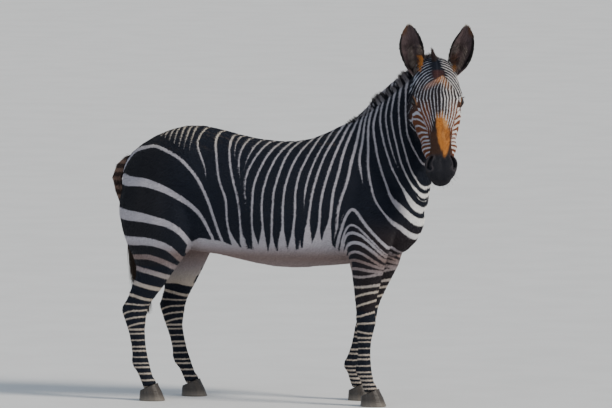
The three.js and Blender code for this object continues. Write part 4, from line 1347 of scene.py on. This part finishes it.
def lay_coat(name, here, part, material, cover=None, bare=33):
    """The tufts on some of the skin's triangles, or of another cover's, further than `bare` from an eye's middle."""
    skin_points, skin_triangles, skin_normals, share = cover or whole_skin
    blend = np.stack([share[kind] for kind in COAT], 1)
    blend = blend / blend.sum(1, keepdims=True)
    sizes = blend @ np.array(list(COAT.values()))
    density = sizes[:, 3][skin_triangles].mean(1)
    chosen, weights = scattered(skin_points, skin_triangles, here, density)
    corners = skin_triangles[chosen]

    def at(values):
        return (values[corners] * (weights[:, :, None] if values.ndim == 2 else weights)).sum(1)

    roots, normals = at(skin_points), unit(at(skin_normals))
    own = {kind: at(share[kind]) for kind in share}
    size = at(sizes)
    head = to_head(roots)
    on_head = own["head"] > 0.5
    eye_gap = np.min([np.linalg.norm(roots - eye_centre(side), axis=1) for side in (-1, 1)], axis=0)
    opening, _ = off_nostril(head)
    mouth = off_mouth(head)
    keep = ~(on_head & ((eye_gap < bare) | (opening < 9) | (mouth < 3)))
    muzzle = np.where(on_head, smoothstep(head[:, 0], 380, 470), 0)
    near_eye = np.where(on_head, 1 - smoothstep(eye_gap, 35, 70), 0)
    scale = (1 - 0.45 * muzzle - 0.35 * near_eye) * RNG.uniform(0.75, 1.25, len(roots))
    flow = hair_flow(roots, own)
    flow += 0.30 * np.stack([wander(roots, 90, seed) for seed in (21, 22, 23)], 1)
    flow -= (flow * normals).sum(1)[:, None] * normals
    flow = unit(flow)
    skew = RNG.normal(0, 0.16, len(roots))
    flow = unit(flow + skew[:, None] * np.cross(normals, flow))
    length = size[:, 0] * scale
    spot = roots + (0.4 * length)[:, None] * flow
    lids = np.min([off_lids(roots, side)[0] for side in (-1, 1)], axis=0)
    keep &= ~(on_head & (lids < 5.5))
    white = whiteness(marking_fields(spot, own["head"], normals), on_arrays) + RNG.normal(0, 0.7, len(roots))
    pale, dark = tones(spot, own["head"])
    mixed = smoothstep(white, -1.0, 1.0)[:, None]
    tone = (dark * (1 - mixed) + pale * mixed) * RNG.uniform(0.80, 1.16, len(roots))[:, None]
    lift = size[:, 2] * scale * RNG.uniform(0.6, 1.5, len(roots))
    width = size[:, 1] * np.sqrt(scale)
    parts = [a[keep] for a in (roots, normals, flow, length, width, lift, tone, chart(roots, part))]
    slivers(name, *parts, material, "coat")


# ---- Ears, mane, tail and hooves ----
EAR_AT = np.array([56.0, 77.0, -42.0])
EAR_LENGTH = 236.0
EAR_LEAN = {"right": 9, "left": 15}
EAR_BULGE = {"right": [3, 9, 10, 8, 4], "left": [0, 6, 11, 14, 5]}  # outwards, up the ear
EAR_WIDER = {"right": [1, 0.96, 1.13, 1.20, 1.24, 1.3], "left": [1, 1, 1.06, 1.08, 1.16, 1.25]}
MANE_LOCKS = 12000
MANE_CLUMP = 17.0  # along the crest, between the mane's points
FORELOCK_LOCKS = 1500

def ear_frame(name):
    """The ear's base, and rows: out of its opening, across it, and up to its tip."""
    side = SIDES[name]
    base = POLL + (EAR_AT * [1, side, 1]) @ HEAD_AXES
    lean, turn = math.radians(-side * EAR_LEAN[name]), math.radians(HEAD_TURN)
    spin = Matrix.Rotation(turn, 3, "Z") @ Matrix.Rotation(lean, 3, "X")
    return base, np.array(spin).T


def ear_tone(local, inner, side):
    """Colour over an ear from its own coordinates: t up it, s across it, dark rims, and a white tip."""
    t = np.clip(local[:, 2] / EAR_LENGTH, 0, 1)
    reach = 53 * np.sqrt(np.maximum(1 - t ** 5, 0)) * np.where(t < 0.45, 1 - 0.6 * (1 - t / 0.45) ** 2,
                                                             0.62 + 0.38 * np.sin(3.5 * t))
    s = local[:, 1] / np.maximum(reach, 4)
    rim = smoothstep(np.abs(s), 0.66, 0.80) * smoothstep(t, 0.05, 0.25)
    # The cup's hair is a dim mauve grey: its own colour darkened by painted shade in the ear's hollow.
    cup = np.tile([0.115, 0.080, 0.082], (len(t), 1))
    blotch = (smoothstep(wander(local, 40, 31) + 0.55 - 1.1 * np.abs(s), 0.05, 0.6) * smoothstep(-t, -0.75, -0.5))[:, None] * 0.75
    cup = cup * (1 - blotch) + np.array([0.030, 0.021, 0.020]) * blotch
    cup = cup * (1 - rim[:, None]) + np.array([0.012, 0.010, 0.010]) * rim[:, None]
    brown = (smoothstep(t, 0.72, 0.86) * smoothstep(side * s, 0.05, 0.5))[:, None] * 0.8
    cup = cup * (1 - brown) + np.array([0.10, 0.045, 0.020]) * brown
    back = np.tile([0.60, 0.56, 0.50], (len(t), 1))
    band = (smoothstep(t, 0.50, 0.56) * smoothstep(-t, -0.93, -0.90)
            + smoothstep(t, 0.10, 0.14) * smoothstep(-t, -0.26, -0.22))[:, None]
    back = back * (1 - band) + np.array([0.014, 0.012, 0.012]) * band
    tone = np.where(inner[:, None] > 0, cup, back)
    tip = smoothstep(t + 0.025 * np.abs(s) * (side * s < 0), 0.950, 0.975)[:, None]
    tone = tone * (1 - tip) + np.array([0.72, 0.68, 0.60]) * tip
    return tone


def soft_copy(node, voxel, rounds):
    """A solid's shape as smooth even triangles."""
    points, triangles = remeshed(*cad(node), voxel)
    return relaxed(points, edges_of(triangles), rounds), triangles


def build_ear(name, material, fur):
    side = SIDES[name]
    points, triangles = soft_copy(f"ear_{name}", 2.6, 14)
    base, axes = ear_frame(name)
    normals = normals_of(points, triangles)
    local = (points - base) @ axes.T
    facing = normals @ axes.T
    t = local[:, 2] / EAR_LENGTH
    bulge = np.interp(t, [0, 0.2, 0.5, 0.8, 1.0], EAR_BULGE[name])
    wider = np.interp(t, [0, 0.26, 0.56, 0.73, 0.9, 0.97], EAR_WIDER[name]) - 1
    points = points + (side * bulge + wider * local[:, 1])[:, None] * axes[1] - (6 * t ** 2)[:, None] * axes[2]
    folds = 1.6 * np.sin(local[:, 1] / 5.2) * smoothstep(-t, -0.55, -0.15) * (facing[:, 0] > 0.2)
    points = points + (folds - 1.2)[:, None] * normals
    inner = facing[:, 0] - 0.15 * np.sign(facing[:, 0])
    inner = relaxed(np.sign(inner)[:, None].astype(float), edges_of(triangles), 2, keep_volume=False)[:, 0]
    tone = ear_tone(local, inner, side)
    mesh = mesh_of(f"ear_{name}_skin", points, triangles)
    put(mesh, "tone", tone)
    piece(f"ear_{name}_skin", mesh, material, "ear", [f"ear_{name}"])
    density = np.full(len(triangles), 0.16)
    chosen, weights = scattered(points, triangles, np.ones(len(triangles), bool), density)
    corners = triangles[chosen]
    roots = (points[corners] * weights[:, :, None]).sum(1)
    out = unit((normals[corners] * weights[:, :, None]).sum(1))
    own = (roots - base) @ axes.T
    within = (inner[corners] * weights).sum(1)
    up = np.stack([np.zeros(len(roots)), -0.35 * np.sign(own[:, 1]) * (within > 0), np.ones(len(roots))], 1) @ axes
    up = up + RNG.normal(0, 0.16, up.shape)
    up = unit(up - (up * out).sum(1)[:, None] * out)
    size = np.where(within > 0, 9.0, 7.0) * RNG.uniform(0.7, 1.3, len(roots))
    unmoved = (local[corners] * weights[:, :, None]).sum(1)
    tuft_tone = ear_tone(unmoved, within, side) * RNG.uniform(0.75, 1.2, len(roots))[:, None]
    place = np.stack([own[:, 2] / 260, np.arctan2(own[:, 1], own[:, 0] + 30) / (2 * math.pi) + 0.5], 1)
    slivers(f"ear_{name}_fur", roots, out, up, size, np.full(len(roots), 1.7), size * 0.16, tuft_tone, place, fur, "ear")
    fringe = 420
    height = RNG.uniform(0.02, 0.52, fringe)
    edge = RNG.choice([-1, 1], fringe, p=[0.5, 0.5])
    inner_edge = edge == -side
    spread = 47 * (1 - 0.6 * np.maximum(1 - height / 0.45, 0) ** 2) * 0.86
    start_at = np.stack([RNG.uniform(-12, 22, fringe) * (1 - height), edge * spread * RNG.uniform(0.5, 0.92, fringe),
                         height * EAR_LENGTH], 1)
    start = np.stack([np.full(fringe, 0.75), -0.35 * edge, np.full(fringe, 0.55)], 1) + RNG.normal(0, 0.12, (fringe, 3))
    finish = np.stack([np.full(fringe, 0.1), -0.75 * edge, np.full(fringe, 0.65)], 1) + RNG.normal(0, 0.15, (fringe, 3))
    orange = (inner_edge & (height < (0.32 if side < 0 else 0.12)))[:, None] * 0.9
    brown = (inner_edge & (height < 0.36))[:, None] * 0.9
    grey = np.tile([0.17, 0.135, 0.12], (fringe, 1)) * (1 - brown) + np.array([0.10, 0.038, 0.018]) * brown
    grey = grey * (1 - orange) + np.array([0.62, 0.24, 0.04]) * orange
    grey = grey * RNG.uniform(0.5, 1.2, (fringe, 1))
    place = np.stack([height, 0.5 + 0.4 * edge * height], 1)
    long = RNG.uniform(20, 42, fringe)
    strands(f"ear_{name}_fringe", base + start_at @ axes, unit(start) @ axes, unit(finish) @ axes, long,
            RNG.uniform(1.4, 2.4, fringe), grey * 0.7, grey, place, fur, "ear", rings=3)


def crest_at(t):
    """Point on the crest, the way up from it, the way along it, and the mane's rise, at t from 0 to 1."""
    rows = np.array([list(crest) + list(throat) + [rise] for crest, throat, rise in CREST], float)
    places = np.linspace(0, 1, len(rows))
    fine = np.linspace(0, 1, 400)
    smooth = np.stack([np.interp(fine, places, rows[:, k]) for k in range(7)], 1)
    kernel = np.exp(-0.5 * (np.arange(-40, 41) / 18) ** 2)
    padded = np.pad(smooth, ((40, 40), (0, 0)), mode="reflect", reflect_type="odd")
    smooth = np.stack([np.convolve(padded[:, k], kernel / kernel.sum(), "valid") for k in range(7)], 1)
    found = np.stack([np.interp(t, fine, smooth[:, k]) for k in range(7)], 1)
    ahead = np.stack([np.interp(t + 0.01, fine, smooth[:, k]) - np.interp(t - 0.01, fine, smooth[:, k]) for k in range(3)], 1)
    return found[:, :3], unit(found[:, :3] - found[:, 3:6]), unit(ahead), found[:, 6]


def build_mane(fur, core):
    """A thin inner wall, and upright locks that carry the neck's stripes to dark brown tips."""
    points, triangles = soft_copy("mane", 4.0, 10)
    points = points - 5.5 * normals_of(points, triangles)
    near_poll = 1 - smoothstep(np.linalg.norm(points - [781, -98, 1540], axis=1), 30, 110)
    points = points - near_poll[:, None] * [0, 0, 30]
    mesh = mesh_of("mane_core", points, triangles)
    fields = marking_fields(points, np.zeros(len(points)), normals_of(points, triangles))
    put(mesh, "tone", mane_tone(points, fields, np.zeros(len(points))))
    piece("mane_core", mesh, core, "mane", ["mane"])
    count = MANE_LOCKS
    t = RNG.random(count) ** 0.9
    crest, up, ahead, rise = crest_at(t)
    across = unit(np.cross(ahead, up))
    offset = np.clip(RNG.normal(0, 0.5, count), -1, 1)
    roots = crest + across * (13 * offset)[:, None] - up * 16.0
    clump = wander(np.stack([900 * t, 30 * offset, 0 * t], 1), 34, 41)
    length = (rise + 18 + 7 * clump) * RNG.uniform(0.84, 1.06, count) * (1 - 0.24 * offset ** 2)
    along = 1100 * t + 5 * clump
    lock = np.floor(along / MANE_CLUMP)
    off_middle = along - (lock + 0.5) * MANE_CLUMP
    taller = 8 * np.sin(lock * 12.9898) - 0.9 * np.abs(off_middle)
    length = (length + taller) * (1 - 0.5 * smoothstep(t, 0.84, 0.98))
    gather = -0.8 * off_middle / (rise + 20)
    lean = (0.30 * clump - 0.14 + gather)[:, None] * ahead + 0.07 * RNG.normal(size=(count, 3))
    start = unit(up + 0.30 * offset[:, None] * across + 0.4 * lean)
    end = unit(up + 0.06 * offset[:, None] * across + 1.1 * lean)
    foot = crest - up * 4 + across * (12 * offset)[:, None]
    fields = marking_fields(foot, np.zeros(count), across)
    root_tone = mane_tone(foot, fields, np.zeros(count)) * RNG.uniform(0.8, 1.15, (count, 1))
    tip_tone = mane_tone(foot, fields, np.ones(count)) * RNG.uniform(0.6, 1.3, (count, 1))
    place = np.stack([t, 0.5 + 0.4 * offset], 1)
    width = RNG.uniform(2.2, 3.6, count)
    strands("mane_locks", roots, start, end, length, width, root_tone, tip_tone, place, fur, "mane", rings=3, turn=3.0)


def mane_tone(points, fields, tip):
    """Stripes at the roots, dark brown towards the tips."""
    white = smoothstep(whiteness(fields, on_arrays) + 1.0, -1.5, 1.5)[:, None]
    pale, dark = tones(points, np.zeros(len(points)))
    low = dark * (1 - white) + 0.85 * pale * white
    high = np.array([0.026, 0.015, 0.011]) * (1 - white) + np.array([0.085, 0.055, 0.040]) * white
    return low * (1 - tip[:, None]) + high * tip[:, None]


def build_forelock(fur, core):
    """Short dark hair between the ears that leans to the right, over a small hidden core."""
    points, triangles = soft_copy("forelock", 3.5, 10)
    middle = from_head(np.array([[6.0, -7.0, -16.0]]))
    points = middle + 0.26 * (points - points.mean(axis=0))
    mesh = mesh_of("forelock_core", points, triangles)
    put(mesh, "tone", np.tile([0.012, 0.010, 0.011], (len(points), 1)))
    piece("forelock_core", mesh, core, "mane", ["forelock"])
    count = FORELOCK_LOCKS
    turn, reach = RNG.uniform(0, 2 * math.pi, count), np.sqrt(RNG.random(count))
    rear = RNG.random(count) < 0.62
    down = np.where(rear, 2 + 15 * reach * np.cos(turn), 26 + 26 * reach * np.cos(turn))
    side = np.where(rear, -7, -3) + np.where(rear, 15, 12) * reach * np.sin(turn)
    foot = np.stack([down, side, -15 + 7 * smoothstep(down, -14, 30) - 0.004 * side ** 2], 1)
    up_way = np.stack([np.full(count, -0.85), -0.10 - 0.020 * (side + 7), np.full(count, 0.45)], 1)
    flat_way = np.stack([np.full(count, 0.75), 0.02 * side, np.full(count, 0.45)], 1)
    way = np.where(rear[:, None], up_way, flat_way) + RNG.normal(0, 0.07, (count, 3))
    up_end = np.stack([np.full(count, -0.9), -0.32 - 0.016 * (side + 7), np.full(count, 0.12)], 1)
    flat_end = np.stack([np.full(count, 1.0), 0.015 * side, np.full(count, -0.05)], 1)
    finish = np.where(rear[:, None], up_end, flat_end) + RNG.normal(0, 0.08, (count, 3))
    length = np.where(rear, 34 + 38 * (1 - reach ** 1.5), 22 + 8 * reach) * RNG.uniform(0.75, 1.08, count)
    tone = np.array([0.009, 0.010, 0.014]) * RNG.uniform(0.6, 1.5, (count, 1))
    tip = np.where(rear[:, None], [0.070, 0.034, 0.026], [0.012, 0.011, 0.014]) * RNG.uniform(0.6, 1.4, (count, 1))
    place = np.stack([0.5 + 0.4 * reach * np.cos(turn), 0.5 + 0.4 * reach * np.sin(turn)], 1)
    width = RNG.uniform(1.6, 2.6, count)
    strands("forelock_locks", from_head(foot), unit(way) @ HEAD_AXES, unit(finish) @ HEAD_AXES, length, width,
            tone, tip, place, fur, "mane", rings=3, turn=2.0)


# The tail: (x, y, z, half-width) from its root to the end of the dock inside the tassel.
TAIL = [(-606, 0, 1050, 30), (-660, 0, 1030, 29), (-690, 1, 972, 25), (-680, 2, 880, 21), (-657, 3, 780, 18),
        (-630, 4, 690, 16), (-600, 5, 600, 12), (-583, 6, 500, 8)]


def swung(points):
    """The tail's points, moved along the body so that it hangs close behind the right hind leg."""
    heights = [380, 500, 600, 690, 780, 880, 972, 1040]
    shift = np.interp(points[:, 2], heights, [-20, -9, 10, 27, 17, 6, -8, 0])
    return points + shift[:, None] * [1, 0, 0]


def build_tail(fur, core):
    for node, name in (("tail_dock", "tail_dock_skin"), ("tail_tassel", "tail_tassel_core")):
        points, triangles = soft_copy(node, 4.0, 12)
        inset = 4 if node == "tail_dock" else 3 + 8 * smoothstep(points[:, 2:], 420, 600)
        points = points - inset * normals_of(points, triangles)
        if node == "tail_tassel":
            points[:, 2] = np.where(points[:, 2] < 580, 580 + 0.35 * (points[:, 2] - 580), points[:, 2])
        points = swung(points)
        mesh = mesh_of(name, points, triangles)
        put(mesh, "tone", tail_tone(points) if node == "tail_dock" else np.tile([0.02, 0.015, 0.012], (len(points), 1)))
        piece(name, mesh, core, "coat" if node == "tail_dock" else "mane", [node])
        if node == "tail_dock":
            normals = normals_of(points, triangles)
            chosen, weights = scattered(points, triangles, np.ones(len(triangles), bool), np.full(len(triangles), 0.06))
            corners = triangles[chosen]
            roots = (points[corners] * weights[:, :, None]).sum(1)
            out = unit((normals[corners] * weights[:, :, None]).sum(1))
            rows = np.array(TAIL, float)
            slope = np.gradient(rows[:, 0], rows[:, 2])
            down = np.stack([-np.interp(-roots[:, 2], -rows[:, 2], slope), np.zeros(len(roots)), -np.ones(len(roots))], 1)
            down = unit(unit(down) + RNG.normal(0, 0.12, down.shape))
            down = unit(down - (down * out).sum(1)[:, None] * out)
            size = 17 * RNG.uniform(0.7, 1.3, len(roots))
            tone = tail_tone(roots + 8 * down) * RNG.uniform(0.75, 1.2, (len(roots), 1))
            place = np.stack([(roots[:, 2] - 600) / 500, np.arctan2(roots[:, 1], out[:, 0]) / (2 * math.pi) + 0.5], 1)
            slivers("tail_dock_fur", roots, out, down, size, np.full(len(roots), 3.0), size * 0.2, tone, place, fur, "coat")
    count = 2600
    rows = np.array(TAIL, float)[4:]
    t = RNG.random(count) ** 1.2
    where = np.linspace(0, 1, len(rows))
    centre = np.stack([np.interp(t, where, rows[:, k]) for k in range(3)], 1)
    width = np.interp(t, where, rows[:, 3])
    turn = RNG.uniform(0, 2 * math.pi, count)
    ring = np.stack([np.cos(turn), np.sin(turn), np.zeros(count)], 1)
    roots = swung(centre + 0.62 * width[:, None] * ring)
    end_x = np.interp(roots[:, 2], [360, 500, 640, 780], [-604, -600, -598, -602])
    start = unit(np.stack([0.12 + 0 * turn, 0 * turn, -np.ones(count)], 1) + 0.15 * ring)
    down = np.stack([(end_x - roots[:, 0]) / 260, 0 * turn, -np.ones(count)], 1)
    end = unit(down + 0.05 * ring + RNG.normal(0, 0.05, (count, 3)))
    length = np.minimum(RNG.uniform(150, 300, count), roots[:, 2] - 364)
    tone = np.array([0.030, 0.021, 0.016]) * RNG.uniform(0.5, 1.6, (count, 1))
    tip = np.array([0.045, 0.027, 0.018]) * RNG.uniform(0.5, 1.5, (count, 1))
    place = np.stack([t, turn / (2 * math.pi)], 1)
    strands("tail_locks", roots, start, end, length, RNG.uniform(3.0, 5.0, count), tone, tip, place, fur, "mane", rings=5)


def tail_tone(points):
    """Short dark bars on tan."""
    bars = np.abs((points[:, 2] / 38) % 1 - 0.5) * 2
    dark = smoothstep(bars, 0.35, 0.55)[:, None]
    # The tan is dimmed towards brown: the tail's own tan darkened by painted shade.
    tan = np.array([0.20, 0.125, 0.095])
    return tan * (1 - dark) + np.array([0.045, 0.028, 0.024]) * dark


def hoof_shader():
    """Dark horn with growth rings, fine upright grain and a worn, dusty lower edge."""
    shader = Shader("horn", roughness=0.5, specular=0.4)
    grain = shader.noise(260.0, 3.0, stretch=(1, 1, 0.12))
    rings = shader.noise(60.0, 2.0, stretch=(0.15, 0.15, 2.2))
    low = shader.ramp(shader.value("height"), 4.0, 34.0)
    horn = shader.mix(shader.ramp(grain, 0.35, 0.65), (0.030, 0.025, 0.022), (0.060, 0.050, 0.042))
    horn = shader.mix(shader.ramp(rings, 0.42, 0.6), horn, (0.045, 0.036, 0.030))
    shader.colour(shader.mix(low, (0.14, 0.12, 0.10), horn))
    shader.bump(rings, 0.0022, 0.7)
    shader.bump(grain, 0.0006, 0.5)
    return shader.material


def build_hoof(leg, material):
    points, triangles = soft_copy(f"{leg}_hoof", 3.0, 8)
    normals = normals_of(points, triangles)
    points = points + (0.5 * np.sin(points[:, 2] / 1.15) * (points[:, 2] > 6))[:, None] * normals
    points[:, 2] = np.maximum(points[:, 2], 0.0)
    points[points[:, 2] < 2.2, 2] = 0.0
    mesh = mesh_of(f"{leg}_horn", points, triangles)
    put(mesh, "height", points[:, 2])
    piece(f"{leg}_horn", mesh, material, "horn", [f"{leg}_hoof"])


# ---- The scene ----
set_camera()
set_lights()
set_floor()

skin_points, skin_triangles = build_skin()
part_of_point, share = shares_of(skin_points, skin_triangles, 12)
skin_normals = normals_of(skin_points, skin_triangles)
skin_mesh = mesh_of("skin", skin_points, skin_triangles)
for key, value in marking_fields(skin_points, share["head"], skin_normals).items():
    put(skin_mesh, key, value)
for key, value in zip(("pale", "dark"), tones(skin_points, share["head"])):
    put(skin_mesh, key, value)
coat = coat_shader()
piece("skin", skin_mesh, coat, "coat", FLESH)
whole_skin = (skin_points, skin_triangles, skin_normals, share)

fur, core = hair_shader("hair"), hair_shader("hair_core", 0.8)
iris = eye_shader()
skin_tree = BVHTree.FromPolygons(skin_points.tolist(), skin_triangles.tolist())
for side_name, side_sign in SIDES.items():
    build_eye(side_name, side_sign, iris)
    lid_points, lid_triangles = build_lids(side_name, side_sign, skin_tree, coat)
    lid_share = {kind: np.full(len(lid_points), float(kind == "head")) for kind in share}
    lid_cover = (lid_points, lid_triangles, normals_of(lid_points, lid_triangles), lid_share)
    everywhere = np.ones(len(lid_triangles), bool)
    lay_coat(f"lids_{side_name}_fur", everywhere, "head", fur, lid_cover, 0)
    build_lashes(side_name, side_sign, fur)
    build_ear(side_name, core, fur)
build_mane(fur, core)
build_forelock(fur, core)
build_whiskers(fur)
build_tail(fur, core)
horn = hoof_shader()
for leg in LEGS:
    build_hoof(leg, horn)

label = part_of_point[skin_triangles[:, 0]]
centre_y = skin_points[skin_triangles[:, 0], 1]
is_trunk = np.isin(label, [FLESH.index("trunk")])
for side_name, side_sign in SIDES.items():
    here = is_trunk & ((centre_y > 0) == (side_sign > 0))
    lay_coat(f"coat_trunk_{side_name}", here, "trunk", fur)
lay_coat("coat_neck", label == FLESH.index("neck"), "neck", fur)
for side_name, side_sign in SIDES.items():
    head_y = to_head(skin_points[skin_triangles[:, 0]])[:, 1]
    lay_coat(f"coat_head_{side_name}", (label == FLESH.index("head")) & ((head_y > 0) == (side_sign > 0)), "head", fur)
for leg in LEGS:
    parts = [FLESH.index(f"{leg}_upper"), FLESH.index(f"{leg}_lower")]
    lay_coat(f"coat_{leg}", np.isin(label, parts), leg, fur)

counts = {o.name: len(o.data.loop_triangles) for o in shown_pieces() if o.data.calc_loop_triangles() is None}
print("triangles", sum(counts.values()), sorted(counts.items(), key=lambda c: -c[1])[:14])
